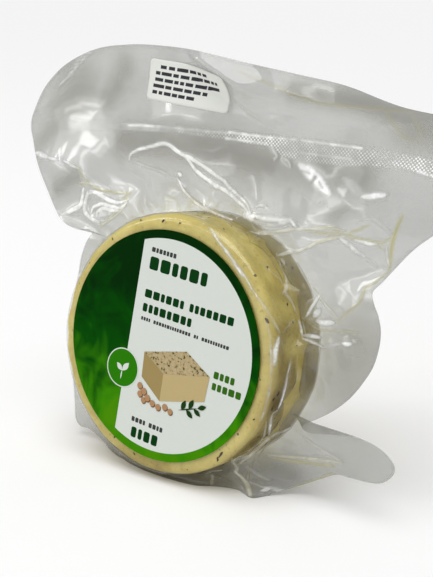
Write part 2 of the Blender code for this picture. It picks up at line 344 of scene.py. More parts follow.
def fleck_spots():
    """Centre, outward direction and size of each fleck: named ones first, then a seeded scatter."""
    face = np.array(FLECKS_ON_FACE, dtype=float)
    wall = np.array(FLECKS_ON_WALL, dtype=float)
    draw = np.random.default_rng(11)
    half = WHEEL_DEPTH / 2 - UNDER_FILM
    count = LOOSE_FLECKS
    scattered_wall = np.column_stack([
        draw.uniform(-180, 180, count), draw.uniform(EDGE_RADIUS - half, half - EDGE_RADIUS, count),
        SMALLEST_FLECK + FLECK_SPREAD * draw.uniform(0, 1, count) ** 3,
    ])
    back = np.column_stack([
        draw.uniform(-180, 180, count // 2), BACK_REACH * np.sqrt(draw.uniform(0.0, 1.0, count // 2)),
        draw.uniform(0.2, 0.6, count // 2),
    ])
    wall = np.vstack([wall, scattered_wall])
    wall_angle = np.radians(wall[:, 0])
    wall_out = np.column_stack([np.cos(wall_angle), np.sin(wall_angle), np.zeros(len(wall))])
    wall_centre = wall_out * (WHEEL_RADIUS - UNDER_FILM) + np.array([0, 0, 1.0]) * wall[:, 1:2]
    centres, directions, sizes = [wall_centre], [wall_out], [wall[:, 2]]
    for flecks, side in ((face, 1.0), (back, -1.0)):
        angle = np.radians(flecks[:, 0])
        radius = np.minimum(flecks[:, 1], WHEEL_RADIUS - 0.9)
        drop = np.clip(radius - (WHEEL_RADIUS - EDGE_RADIUS), 0.0, EDGE_RADIUS)
        dip = EDGE_RADIUS - np.sqrt(EDGE_RADIUS ** 2 - drop ** 2)
        out = np.column_stack([
            np.cos(angle) * drop / EDGE_RADIUS, np.sin(angle) * drop / EDGE_RADIUS,
            side * np.sqrt(1 - (drop / EDGE_RADIUS) ** 2),
        ])
        level = side * (half - dip)
        centres.append(np.column_stack([radius * np.cos(angle), radius * np.sin(angle), level]))
        directions.append(out)
        sizes.append(flecks[:, 2])
    return np.concatenate(centres), np.concatenate(directions), np.concatenate(sizes)


def fleck_mesh():
    """Each fleck is a low dome: a ring whose radius is the size times seeded factors, and a raised middle."""
    centres, directions, sizes = fleck_spots()
    draw = np.random.default_rng(5)
    count = len(centres)
    sideways = np.cross(directions, draw.normal(size=(count, 3)))
    sideways /= np.linalg.norm(sideways, axis=1, keepdims=True)
    upright = np.cross(directions, sideways)
    angle = np.arange(FLECK_SIDES) * 2 * math.pi / FLECK_SIDES
    wobble = draw.uniform(0.55, 1.25, (count, FLECK_SIDES))
    stretch = draw.uniform(0.4, 0.8, (count, 1))
    along = (np.cos(angle) * wobble * sizes[:, None])[..., None] * sideways[:, None]
    beside = (np.sin(angle) * wobble * stretch * sizes[:, None])[..., None] * upright[:, None]
    ring = centres[:, None] - FLECK_SINK * directions[:, None] + along + beside
    top = centres + FLECK_RISE * directions
    bottom = centres - FLECK_DEPTH * directions
    points = np.concatenate([ring, top[:, None], bottom[:, None]], axis=1).reshape(-1, 3)
    each = np.arange(count)[:, None] * (FLECK_SIDES + 2)
    column = np.arange(FLECK_SIDES)
    following = (column + 1) % FLECK_SIDES
    upper = np.stack([each + column, each + following, each + FLECK_SIDES + 0 * column], axis=-1)
    lower = np.stack([each + following, each + column, each + FLECK_SIDES + 1 + 0 * column], axis=-1)
    return points, np.concatenate([upper.reshape(-1, 3), lower.reshape(-1, 3)])


def herb_material():
    """Dried leaf: green to brown by noise, matt."""
    material, nodes, links, output = new_material("dried herb")
    place = nodes.new("ShaderNodeTexCoord").outputs["Object"]
    mottle = noise_node(nodes, links, place, 160.0)
    shader = nodes.new("ShaderNodeBsdfPrincipled")
    shader.inputs["Roughness"].default_value = 0.8
    shader.inputs["Specular IOR Level"].default_value = 0.1
    colour = ramp_node(nodes, links, mottle, ((0.4, HERB_GREEN), (0.65, HERB_BROWN)))
    links.new(colour, shader.inputs["Base Color"])
    links.new(shader.outputs["BSDF"], output.inputs["Surface"])
    return material


fleck_points, fleck_faces = fleck_mesh()
build_piece("herb_flecks", fleck_points, fleck_faces, herb_material(), "vacuum_bag", smooth=False)

# The pouch
# Two clear sheets of barrier film, heat sealed round the edge and sucked tight onto the wheel.
# They meet at half the wheel's depth and run out as one crumpled flap, with a crimped seal across the top.
FILM_COLUMNS = 1300
OUTLINE_STEPS = 24
FLAP_ROWS_FRONT = 130
FLAP_ROWS_BACK = 70
WALL_ROWS = 22
FACE_RINGS = (0.6, 0.93, 0.948, 0.966, 0.984, 1.0)
EDGE_ROWS = 9
SHEET_GAP = 0.16
ROW_POWER = 1.2
BORDER_POWER = 60
RIM_RAMP = 2.5
EDGE_BEND = 1.5
WEB_REACH = 3.5
WEB_REACH_BELOW = 9.0
WEB_HEIGHT = 1.5
WEB_HEIGHT_BELOW = 12.0
WEB_CRUMPLE = 0.4
WEB_CRUMPLE_SIZE = 14.0
BELOW_ANGLE = -82.0
BELOW_HALF_WIDTH = 34.0
FLOOR_CONTACT = 0.8
FLOOR_GAP = 0.05
CENTRE_HEIGHT = WHEEL_RADIUS * math.cos(LEAN) + WHEEL_DEPTH / 2 * math.sin(LEAN)

# Film tents that climb the wall: angle in degrees, height on the wall, half width in degrees
TENTS = (
    (58.0, 3.5, 2.5), (31.0, 5.0, 2.5), (8.0, 3.5, 2.5),
    (-16.0, 5.0, 3.0), (-36.0, 4.5, 2.5), (148.0, 3.0, 3.0),
)
WAVE_LENGTHS = (74.0, 46.0)
WAVE_HEIGHTS = (1.6, 0.8)
WAVE_TILTS = (0.4, 0.3)
WAVE_START = 12.0
PLEATS = 17
PLEAT_HEIGHT = 0.7
PLEAT_REACH = 9.0

# Pouch outline, anticlockwise from the top as seen from the front: where on the rim the film comes from, in
# degrees, then across, up and forward from the wheel's centre
OUTLINE = (
    (93, -6, 105.6, 0.0), (101, -25, 106.7, 0.0), (108, -41, 106.3, 0.0), (114, -58, 104.2, -1.5),
    (118.5, -73, 98.2, -3.5), (122, -84.4, 89.3, -5.5), (125, -92, 79.5, -7.0), (127.5, -94.5, 72, -7.0),
    (130, -89.8, 64, -5.5), (133, -80.8, 50.5, -3.5), (135.3, -72, 38.8, -1.5), (136.5, -66.3, 34.9, -0.5),
    (137.7, -60.3, 33.5, 0.0), (139.2, -55.6, 34.0, 0.0), (141.2, -52.3, 33.0, 0.0), (145, -53.2, 31, 0.0),
    (150, -55, 28, 0.0), (157, -57, 22, 0.0), (166, -58, 14, 0.0),
    (178, -58, 4, 0.0), (188, -58.5, -8, 0.0), (199, -58, -20, 0.0), (211, -55.5, -34.5, 0.0),
    (217, -54.5, -42.5, 0.0), (221, -51.5, -45.8, 0.0), (226, -46.5, -46, 0.0), (233, -38.5, -48.8, 0.5),
    (241, -25.5, -50.6, 6.5), (251, -10.5, -51.4, 10.2), (262, 3.4, -51.5, 11.0), (274, 14, -51.3, 9.8),
    (282, 21, -50.6, 6.0), (288, 29, -50.0, 4.0), (293, 36.7, -50.7, 6.5), (298, 41, -49.3, 1.5),
    (306, 49.5, -45.4, -4.0), (312, 58.4, -40.3, -2.0), (317, 66.2, -36.1, 0.0), (321, 72, -35.5, 1.0),
    (324.5, 78.8, -35.1, 1.7), (327.5, 84.6, -33.8, 2.0), (330.5, 88.8, -30.2, 2.0),
    (333, 89.3, -26.3, 2.0),
    (335, 84.2, -22.6, 2.0), (336.3, 77, -21.1, 1.8), (337.3, 68.9, -21.3, 1.4), (338.3, 60.6, -22.6, 1.0),
    (339.7, 54, -23.6, 0.5), (342, 51, -21.9, 0.0), (345, 57, -17.9, 0.0), (348, 62.3, -14.1, 0.0),
    (352, 67.9, -8.7, 0.0), (356, 72.1, -2.6, -0.5), (361, 75.7, 4.3, -0.8), (367, 77.3, 10.9, -1.0),
    (373, 77.5, 16.7, -1.0), (379, 76.2, 21.7, -0.7), (384, 73.8, 25.8, -0.6), (388, 72.6, 29.5, -1.0),
    (391, 75.7, 33.6, -2.0), (394, 79.3, 38.8, -3.5), (397, 85, 46.1, -5.0), (400, 92.8, 53.7, -6.0),
    (404, 102, 65, -7.5), (408, 108, 79, -8.5), (413, 106, 87, -8.5), (419, 92.5, 89.3, -7.5),
    (425, 74, 91.7, -5.0), (431, 54.7, 97.1, -3.0), (438, 35.8, 99.7, -1.5), (446, 15, 102.3, -0.3),
)

# Folds of the flap: height forward, half width, painted highlight, half width of the painted highlight,
# oiliness, and their points across and up. A painted highlight below 0 is a dark streak in a painted white
# patch.
FLAP_FOLDS = (
    # From the wheel's upper right out to the knots in the right flap
    (0.8, 1.3, 0.15, 0.5, 0.6, ((44, 46.8), (48.5, 48.1), (54.6, 49), (56.4, 48.3), (59.9, 47.4))),
    (0.6, 1.0, 0.1, 0.5, 0.5, ((45.3, 46.1), (50.4, 46.6), (59.9, 47.4))),
    (0.8, 1.3, 0.0, 0.5, 0.7, ((44.6, 40.5), (48.6, 42.8), (52.5, 44.7), (57.5, 46.3))),
    (0.9, 1.3, 0.2, 0.5, 0.6, ((59.9, 47.4), (65.7, 46.8), (70.3, 46.5), (74.2, 46.7), (77.4, 49.1))),
    (1.0, 1.2, 0.2, 0.5, 0.3, ((59.2, 46.7), (63.7, 46.2))),
    (1.0, 1.2, 1.0, 0.6, 0.0, ((63.7, 46.2), (69.6, 45.7), (71.9, 45.7))),
    (0.8, 1.2, 0.1, 0.5, 0.4, ((71.9, 45.7), (74.5, 44.2))),
    (0.5, 1.0, 0.0, 0.5, 0.5, ((59.9, 47.4), (64.9, 49.7), (69.4, 51.8))),
    (0.6, 1.2, 0.3, 0.5, 0.0, ((64.6, 52.5), (69.8, 54.2), (73.8, 52), (77.4, 49.2))),
    (1.2, 1.5, 0.0, 0.5, 1.0, ((79.6, 56.6), (78.6, 51.9), (77.7, 48.3), (77.1, 41.7), (77.2, 38))),
    (0.8, 1.0, 0.6, 0.5, 0.1, ((75.6, 45.7), (75.7, 41.9), (77, 38.7))),
    (1.2, 2.0, 0.0, 0.5, 0.5, ((76.7, 37.1), (72.9, 33.2), (69.3, 29.9), (67.7, 24.5), (63.7, 21),
        (60.3, 17))),
    (1.0, 1.8, 0.7, 0.8, 0.0, ((57, 46.3), (61.6, 44.2), (65.1, 42), (68, 40.7))),
    (0.6, 1.5, 0.3, 0.6, 0.0, ((68, 40.7), (72.5, 38))),
    (0.8, 1.0, 0.5, 0.5, 0.2, ((34.5, 36.7), (38.4, 38.1), (43.1, 39.3))),
    (0.6, 0.9, 0.5, 0.5, 0.3, ((23.9, 43.2), (32, 44.6), (39.9, 46.2))),
    (1.2, 1.6, 1.0, 1.6, 0.0, ((18.8, 49.4), (23, 48.4), (30.8, 48.3), (37.4, 49.2))),
    (0.6, 1.0, -0.8, 0.6, 0.0, ((24, 48.2), (28, 47.6), (33, 48.0))),
    (0.8, 1.0, 1.0, 0.6, 0.0, ((37.4, 49.9), (40.2, 47.4))),
    (0.8, 1.2, 0.6, 0.6, 0.3, ((34.3, 36.7), (38.7, 38.8), (43.5, 39.8), (48.8, 43), (54.1, 45.1),
        (60.2, 47))),
    (0.6, 1.0, 0.6, 0.5, 0.4, ((22.1, 43.6), (28.1, 43.3), (34.6, 45.3), (41.9, 47), (55.3, 48.7),
        (60, 48.7))),
    (0.9, 1.0, 0.5, 0.5, 0.3, ((34.2, 36.5), (37.4, 32.6), (39.2, 29.7), (40.7, 26), (44.2, 19.5),
        (45.9, 16.7))),
    # The star of folds at the wheel's right
    (1.4, 1.2, 1.0, 0.6, 0.0, ((48.8, 17.3), (50.8, 21.5), (52.4, 25))),
    (1.2, 1.2, 0.4, 0.5, 0.2, ((49.8, 27), (52.5, 24.6), (56, 21.7), (59.4, 19.2))),
    (1.0, 1.2, 0.9, 1.3, 0.0, ((51.5, 17.6), (53.2, 20.2))),
    (1.2, 1.5, 0.3, 0.5, 0.3, ((47.2, 17), (51.3, 16.5))),
    (1.2, 1.5, 1.0, 1.0, 0.0, ((52.7, 16.2), (56.1, 16.2), (59, 16.7))),
    (0.8, 1.0, 0.2, 0.5, 0.5, ((47.2, 16.8), (52.9, 13.7), (54.7, 13.4), (58.9, 13.5))),
    (1.0, 1.2, 0.8, 0.6, 0.0, ((46, 15.7), (47.1, 13), (48, 10.1))),
    (1.0, 1.2, 0.8, 0.7, 0.0, ((48, 10.1), (51.4, 10.7), (54.5, 10.6))),
    (1.2, 1.2, 0.7, 0.5, 0.0, ((48, 9.4), (52.2, 8.6), (55.8, 7.6))),
    (1.6, 1.5, 0.4, 0.6, 0.0, ((55.5, 6.9), (59.6, 8.9), (63.3, 10.2))),
    (1.6, 1.5, 1.0, 0.8, 0.0, ((63.3, 10.2), (66.7, 10.6))),
    (0.5, 1.2, 0.1, 0.5, 0.3, ((59, 13.4), (64.5, 14.5), (68.9, 14.7))),
    # The left flap: its corner, its edge and the nested folds beside the wheel
    (0.8, 1.2, 0.5, 0.5, 0.0, ((-60.2, 103.5), (-65.4, 99.6), (-73.8, 91.8), (-79, 87.4))),
    (1.0, 1.5, 0.9, 1.0, 0.0, ((-59.4, 49.6), (-59.3, 45.6), (-60, 42.7), (-64.3, 40.2), (-68.7, 38.2))),
    (1.2, 1.3, 0.85, 0.9, 0.0, ((-56.3, 47.9), (-57.5, 44.7), (-57.5, 40.7), (-54.3, 38.6), (-49, 37.3))),
    (1.2, 1.3, 1.0, 0.8, 0.0, ((-56.3, 47.9), (-53, 48.6), (-47, 47.1), (-40.4, 46.3), (-36.9, 47.2))),
    (1.0, 1.3, 1.0, 0.8, 0.0, ((-54.1, 40.3), (-53.2, 42.9), (-49.7, 44.5), (-44.6, 44.6),
        (-38.8, 44.4), (-36.1, 46.1))),
    (0.8, 1.3, 1.0, 0.9, 0.0, ((-50.7, 39.3), (-50.9, 41.3), (-47.4, 43.1), (-42.3, 43.1), (-38.7, 43.5))),
    (0.6, 1.3, 0.6, 1.6, 0.0, ((-51, 39.6), (-47, 41.5), (-43, 42))),
    (0.8, 1.2, 0.5, 0.5, 0.4, ((-48.3, 36.8), (-44.1, 38.8), (-39.3, 41.9), (-36.7, 45), (-35.2, 47.4))),
    (0.6, 2.2, 0.8, 1.1, 0.0, ((-87, 61), (-82, 60.4), (-79.4, 60))),
    (0.8, 1.5, 0.7, 0.7, 0.0, ((-79.4, 60), (-73.6, 59.3))),
    (1.0, 1.5, 0.6, 0.6, 0.0, ((-71.1, 59.5), (-67.3, 58.7), (-62.8, 57.3))),
    (0.8, 1.3, 0.1, 0.5, 0.4, ((-62.8, 57.3), (-59.7, 54.4), (-56.3, 52.1))),
    (0.6, 1.2, 0.0, 0.5, 0.8, ((-38.1, 47.1), (-34.7, 50.9))),
    (0.8, 1.3, 0.05, 0.5, 0.6, ((-61.5, 51.2), (-56.3, 51.4), (-50.9, 50), (-41.3, 50), (-34.7, 50.9))),
    (0.8, 1.2, 0.4, 0.5, 0.5, ((-37.8, 45.2), (-40.7, 42.4), (-45, 38.3), (-48.6, 35.4))),
    (0.4, 0.8, 0.5, 0.5, 0.0, ((-47.6, 52), (-45.2, 50.3))),
    (-1.0, 4.0, 0.0, 0.5, 0.0, ((-42, 103), (-50, 89), (-60, 77))),
    # The arch over the wheel and its strands down to the right
    (1.6, 2.2, 1.0, 0.75, 0.0, ((-36.8, 63.1), (-36, 65.1), (-32.9, 67), (-27, 68.8), (-20.6, 70.5),
        (-16.5, 70.7),
        (-10.4, 68), (-3.9, 65.9), (2, 63.3), (9.1, 60), (13.8, 56.5), (18.5, 53.4), (21.6, 49.7))),
    (1.6, 1.8, 1.0, 0.8, 0.0, ((-10.4, 68), (-6.3, 65.2), (-3.5, 62.3), (0.1, 60.6), (5.9, 58.1),
        (10.5, 56.5),
        (15.8, 53.1), (19.9, 50.4), (21.7, 48.4))),
    (0.8, 1.5, 0.55, 1.1, 0.0, ((-2, 60.8), (5, 59.0), (12, 56.2), (18.5, 51.8))),
    (1.0, 1.2, 1.0, 0.65, 0.0, ((-12.6, 58.8), (-8.5, 54.4), (-3.5, 50.8), (3.5, 49), (13.8, 46.5))),
    (0.5, 1.5, 0.3, 0.6, 0.0, ((-36.8, 63.1), (-29.3, 61.9), (-22, 60.8), (-15.4, 59.5), (-12.6, 58.8))),
    (0.4, 1.0, 1.0, 0.8, 0.0, ((-12, 60.7), (-10.4, 60))),
    (0.6, 1.0, 0.7, 0.6, 0.0, ((23.1, 52.4), (25.4, 53.3), (27.8, 52.7))),
    # Two hollows below the seal with painted highlights, and the seal's kinks
    (0.3, 2.5, 1.0, 2.0, 0.0, ((38, 69), (42.1, 66.9), (46, 64.3), (49.9, 61.5), (51.4, 60.3))),
    (0.0, 1.0, -0.6, 0.6, 0.0, ((39.4, 66.9), (42.6, 66.4))),
    (0.0, 1.0, -0.9, 0.9, 0.0, ((44.9, 65.4), (43.9, 63.3))),
    (0.0, 1.0, -0.7, 0.6, 0.0, ((46.9, 63.9), (48.6, 62.0))),
    (0.2, 2.0, 1.0, 1.1, 0.0, ((64.8, 60.9), (68.1, 61.4), (70.8, 62.1), (73.1, 62.3))),
    (0.2, 2.5, 0.3, 1.8, 0.0, ((56.5, 66.1), (59.6, 64.7), (62.2, 62.9), (64.8, 61.1))),
    (0.3, 0.8, 0.6, 0.5, 0.0, ((25.8, 76.4), (26.5, 73.5), (28.4, 71.2), (27.9, 69.5))),
    (0.3, 0.8, 0.4, 0.5, 0.0, ((31, 70.6), (33.5, 69.6), (34.5, 67.8))),
    (-1.6, 6.0, 0.0, 0.5, 0.0, ((-10, 84), (20, 86), (60, 84))),
    # The upper edge's doubled film, and the wrinkle that lifts the sticker's corner
    (0.8, 2.0, 0.0, 0.5, 0.3, ((12, 99.4), (17.5, 97.5), (28.1, 94.4), (39.3, 91.7), (48.4, 90.6),
        (68.3, 90.5), (80, 91))),
    (0.8, 1.5, 0.0, 0.5, 0.3, ((68.7, 89.4), (75.1, 82.4), (78.9, 81.3))),
    (0.6, 1.5, 0.0, 0.5, 0.2, ((77.4, 89.8), (81.7, 81.4))),
    (1.0, 2.5, 0.1, 0.6, 0.1, ((8.2, 90.5), (15.4, 85.5), (21.3, 82.1))),
    # The lower flap and the ear at its right
    (1.0, 1.5, 0.4, 0.6, 0.6, ((24, -43), (19.1, -44.7), (17.6, -47.7), (18.1, -50), (19, -51))),
    (1.0, 1.5, 0.5, 0.6, 0.7, ((30.3, -36.6), (27.9, -38.8), (28.6, -41.8), (28, -44.5),
        (31.6, -47.6), (36.5, -50.6))),
    (1.0, 1.2, 0.6, 0.5, 0.2, ((29.7, -39.9), (35.1, -33.9), (40.1, -28.1), (46.6, -23.6))),
    (1.0, 1.5, 0.3, 0.6, 0.4, ((38.6, -35.1), (45.7, -34.4), (56.1, -32.7), (68.1, -31.1))),
    (1.0, 2.0, 0.1, 0.6, 0.7, ((36.6, -35.6), (45.7, -35.8), (56.2, -34.4), (65.7, -33.1))),
    (0.8, 1.8, 0.2, 0.6, 0.1, ((50.4, -25.2), (58.9, -28.3), (68, -30.5))),
    (0.8, 1.2, 0.6, 0.6, 0.0, ((37.7, -48.8), (40.4, -47.9))),
    (0.8, 1.5, 0.2, 0.6, 0.1, ((30.5, -40.1), (34.1, -43.4), (39.1, -45.2))),
    (0.8, 1.5, 0.1, 0.5, 0.5, ((48, -46), (59, -39.7), (64.9, -35.8))),
)

# Folds over the wheel's wall and rim, as above but with their points as angle, radius and forward
WALL_FOLDS = (
    (1.6, 0.8, 1.0, 0.6, 0.0, ((76, 47, 15), (73, 47.2, 15.8), (63, 45.2, 16.6), (53, 43.6, 16.6),
        (41.5, 43.5, 16.6),
        (31.5, 44.8, 16.6))),
    (1.2, 0.8, 0.6, 0.5, 0.0, ((36, 44, 16.6), (31.5, 44.8, 16.6), (22.5, 47, 16), (14, 47.7, 12.9))),
    (2.4, 1.2, 1.0, 0.9, 0.0, ((14, 47.8, 14), (7.5, 46.9, 16), (1, 47, 15.8))),
    (1.8, 1.0, 0.7, 0.5, 0.3, ((19.5, 47.8, 1.5), (17, 48, 8.3), (14, 48, 14))),
    (2.4, 1.3, 1.0, 0.9, 0.0, ((2.5, 48, 6.9), (-5.5, 48, 9.3), (-20, 48, 8.1))),
    (2.2, 1.2, 0.9, 0.9, 0.0, ((-20, 48, 5.6), (-21.5, 48, 11.3), (-35, 48, 3.8))),
    (1.5, 1.0, 0.6, 0.5, 0.3, ((-37, 48, 2), (-42, 48, 3.9), (-48.5, 48, 4))),
    (1.5, 1.0, 0.7, 0.5, 0.3, ((48, 48, 1.5), (42, 48, 1.2), (30.5, 48, 1.5), (21, 48, 1.5))),
    (1.5, 1.0, 0.6, 0.5, 0.2, ((4.5, 48, 2.9), (-6.5, 48, 2.4), (-18, 48, 1.8), (-37, 48, 2))),
    (0.8, 0.8, 0.6, 0.5, 0.0, ((23, 45.5, 16.6), (11, 45.6, 16.6), (-0.5, 46, 16.4), (-13, 46.6, 16),
        (-23.5, 47, 15.4))),
    (1.8, 1.0, 0.2, 0.5, 0.3, ((82, 47.5, 4.0), (66, 47.5, 5.0), (54, 47.5, 1.0))),
    (1.5, 1.0, 0.3, 0.5, 0.0, ((44, 47.5, 9.0), (34, 47.5, 2.0))),
    (2.0, 1.1, 0.7, 0.5, 0.2, ((-24, 47.5, 13.0), (-36, 47.5, 8.0), (-48, 47.5, 10.0))),
    (1.3, 0.9, 0.3, 0.5, 0.2, ((120, 47.5, 8.0), (108, 47.5, 2.0))),
    (1.5, 1.0, 0.4, 0.5, 0.2, ((150, 47.5, 12.0), (143, 47.5, 2.0))),
    (1.3, 0.8, 0.5, 0.5, 0.0, ((136, 46.0, 16.0), (131, 47.5, 12.0), (128, 47.5, 6.0))),
    (1.1, 0.8, 0.5, 0.5, 0.0, ((100, 47.0, 15.5), (92, 47.5, 12.0), (84, 47.5, 10.0))),
)

# Painted shade where the flap turns from the light, and grey where film lies doubled: strength, half width,
# points
PAINTED_SHADE_PLACES = (
    (0.25, 5.0, ((56, 55), (60, 59))), (0.45, 9.0, ((80, 86), (98, 86))), (0.5, 4.0, ((34, 94),
        (60, 92), (76, 88))),
    (0.4, 6.0, ((-42, 98), (-52, 86))), (0.5, 16.0, ((66, 0), (70, 10))), (0.5, 6.0, ((36, -40),
        (46, -40))),
    (0.3, 5.0, ((-86, 66), (-78, 74))), (0.4, 4.0, ((-64, 54), (-72, 48))),
    (0.55, 7.5, ((-40, 70), (0, 72), (30, 67), (62, 67))),
    (0.4, 10.0, ((-66, 90), (-74, 80))),
)
WRINKLE_FOOT = (-7.9, 96.1)
WRINKLE_TURN = math.radians(63.4)
WRINKLE_LENGTH = 10.4
WRINKLE_SLOPE = math.radians(60.0)
WRINKLE_BEND = 0.35
WRINKLE_STEPS = 60
WRINKLE_MIDDLE = 10.0
WRINKLE_HALF_LENGTH = 17.0
WRINKLE_FALL = 6.0
FOLD_CREST = 0.24
FOLD_FOOT = 0.28
FOLD_END = 0.45
FOLD_SWAY = 0.12
FOLD_SWAY_SIZE = 7.0
OIL_WIDTH = 0.55
FOLD_HALO = 0.14
OIL_CREEP = 0.55
OIL_REACH = 4.5
OIL_PATCH_SIZE = 7.0
OIL_PATCH_GAIN = 1.5
OIL_LEAST = 0.15
CLEAR_REACH = 4.5
NEAR_BEND = 1.5
FACET_SIZE = 30.0
FACET_SLOPE = 0.03
FACET_WAVES = 4
FACET_BEND = 0.18
FACET_BEND_SIZE = 1.6
CALM_HEIGHT = 80.0
CALM_REACH = 30.0
CALM_LEAST = 0.2
WALL_FACET_SIZE = 16.0
WALL_FACET_SLOPE = 0.045
WALL_CRUMPLE = 0.12
WALL_CRUMPLE_SIZE = 14.0
OFF_FACE_START = 0.2
EASE_HEIGHT = 1.2
EASE_SHARE = 0.4
CRUMPLE_HEIGHT = 0.6
CRUMPLE_SIZE = 11.0
CRUMPLE_REACH = 9.0

# Painted shade in the film over the lower right wall, where the film gathers, and under the wheel
WALL_SHADE_ANGLE = -28.0
WALL_SHADE_HALF_WIDTH = 46.0
UNDER_ANGLE = -97.0
UNDER_HALF_WIDTH = 24.0
UNDER_PAINTED_SHADE = 0.4
WALL_SHADE_FRONT = 16.3
WALL_SHADE_BLUR = 4.0
WALL_SHADE_LEVEL = 0.85
WALL_SHADE_DEPTH = 0.5
WALL_SHADE_SIZE = 11.0

# Painted shade on the wheel's back half, laid in the flap beside the wheel that covers it
BEHIND_ANGLE = 10.0
BEHIND_HALF_WIDTH = 60.0
BEHIND_PAINTED_SHADE = 0.35
BEHIND_REACH = 6.0
MOTTLE_LEVEL = 0.75
MOTTLE_DEPTH = 0.35
MOTTLE_SIZE = 12.0

# The crimped seal: its upper and lower edges, across and up
SEAL_TOP = (
    (-62, 76.5), (-35, 77.4), (-13, 78.1), (8, 78.0), (32, 78.1), (51, 77.9), (64, 77.6), (77, 76.4),
    (89, 75.1), (110, 69.0),
)
SEAL_FOOT = (
    (-62, 72.5), (-39, 74.2), (-15, 75.5), (9, 75.0), (26, 74.0), (31, 71.0), (38, 70.4), (55, 70.2),
    (65, 71.3), (78, 71.6), (90, 69.2), (110, 63.0),
)
# How white the crimps are, partly their own whiteness and partly painted glint: across and strength
SEAL_WHITES_AND_GLINTS = (
    (-62, 0.15), (-40, 0.45), (-32, 0.75), (-18, 0.55), (8, 0.5), (16, 0.95), (28, 0.9), (33, 0.45),
    (58, 0.5), (72, 0.7), (78, 1.0), (110, 1.0),
)
# Painted highlights along the seal: strength and points
SEAL_LINES = (
    (0.9, ((-38, 76.3), (-24, 77.0))), (0.5, ((-24, 77.0), (8, 77.2))), (0.9, ((9, 77.6), (26, 77.2))),
    (0.6, ((26, 77.3), (36, 77.4))), (0.85, ((38, 77.4), (62, 76.9))), (0.7, ((8, 75.4), (24, 75.0))),
    (0.5, ((38, 73.2), (58, 72.9))), (0.9, ((82, 71.4), (90, 69.6), (104, 65.2))),
)
SEAL_PITCH = 1.35
SEAL_BLUR = 0.8
SEAL_LINE_WIDTH = 0.6
FILM_GREY = (0.42, 0.42, 0.405)
# Haze colour where shade is painted
FILM_SHADE_GREY = (0.22, 0.22, 0.205)
FILM_CLEAR = (0.92, 0.925, 0.91)
FILM_OIL = (0.50, 0.47, 0.17)
OIL_CLEAR = (0.80, 0.78, 0.56)
# Clear colours where shade is painted: over the flap, then over the wheel
PAINTED_SHADE_CLEAR = (0.80, 0.79, 0.70)
WHEEL_SHADE_CLEAR = (0.50, 0.46, 0.33)
# White of the painted highlights on the folds and of the seal's partly painted glints
SHINE_WHITE = (0.97, 0.98, 0.96)
HAZE_TIGHT = 0.03
HAZE_FREE = 0.16
HAZE_PATCHES = 0.26
HAZE_PAINTED_SHADE = 0.42
HAZE_OIL = 0.06
HAZE_BORDER = 0.18
# How far painted highlights and the seal's crimps turn the haze white
HAZE_SHINE_AND_CRIMP = 0.80
CRIMP_CONTRAST = 1.1
CRIMP_LEVEL = 0.32
FILM_ROUGHNESS = 0.08
FILM_GLOSS = 0.05


def smooth_curve(points, samples):
    """Catmull-Rom curve: the usual cubic from each point to the next, but not at the first and last two."""
    before, start, end, after = (points[k:len(points) - 3 + k, None] for k in range(4))
    t = (np.arange(samples) / samples)[None, :, None]
    bend = 2 * before - 5 * start + 4 * end - after
    twist = 3 * (start - end) + after - before
    return (start + 0.5 * t * ((end - before) + t * (bend + t * twist))).reshape(-1, points.shape[1])


def softened(line):
    """An open line rounded by the same cubic, its ends led on straight."""
    line = np.asarray(line, dtype=float)
    led_on = np.vstack([2 * line[:1] - line[1:2], line, 2 * line[-1:] - line[-2:-1]])
    return np.vstack([smooth_curve(led_on, 4), line[-1:]])


def pouch_columns():
    """Rim angle and outline point of each column, shared half by outline length and half by angle."""
    table = np.array(OUTLINE)
    around_points = np.vstack([table[-1:], table, table[:2]])[:, 1:]
    outline = smooth_curve(around_points, OUTLINE_STEPS)
    turns = np.append(table[:, 0], table[0, 0] + 360.0)
    angles = np.radians(np.interp(np.arange(len(outline)) / OUTLINE_STEPS, np.arange(len(turns)), turns))
    closed = np.vstack([outline, outline[:1]])
    around = np.append(angles, angles[0] + 2 * math.pi)
    lengths = np.linalg.norm(np.diff(closed, axis=0), axis=1)
    steps = np.diff(around)
    share = np.insert(np.cumsum(lengths / lengths.sum() + steps / steps.sum()) / 2, 0, 0.0)
    wanted = np.arange(FILM_COLUMNS) / FILM_COLUMNS
    points = np.stack([np.interp(wanted, share, closed[:, axis]) for axis in range(3)], axis=1)
    return np.interp(wanted, share, around), points


def angle_gap(angles, centre):
    """Angle from a direction, in degrees between -180 and 180."""
    return (np.degrees(angles) - centre + 180.0) % 360.0 - 180.0


def below_share(angles):
    """1 under the wheel, where the flap is folded forward, falling to 0 round the rest."""
    return np.exp(-(angle_gap(angles, BELOW_ANGLE) / BELOW_HALF_WIDTH) ** 4)


def flap_wave(across, up):
    """Two long sine waves, forward, that start a little way out from the rim."""
    distance = np.hypot(across, up) - WHEEL_RADIUS
    start = np.clip((distance - WAVE_START) / (2 * WAVE_START), 0.0, 1.0)
    long_wave = WAVE_HEIGHTS[0] * np.sin(2 * math.pi * (across + WAVE_TILTS[0] * up) / WAVE_LENGTHS[0])
    short_wave = WAVE_HEIGHTS[1] * np.sin(2 * math.pi * (WAVE_TILTS[1] * across - up) / WAVE_LENGTHS[1])
    return start * (long_wave + short_wave)


def wrinkle_sheet():
    """The wrinkle's near side: length along the sheet, and the sums of cos and sin of its growing slope."""
    length = np.linspace(0.0, WRINKLE_LENGTH, WRINKLE_STEPS)
    slope = WRINKLE_SLOPE * (length / WRINKLE_LENGTH) ** WRINKLE_BEND
    step = length[1]
    return length, np.cumsum(np.cos(slope)) * step, np.cumsum(np.sin(slope)) * step


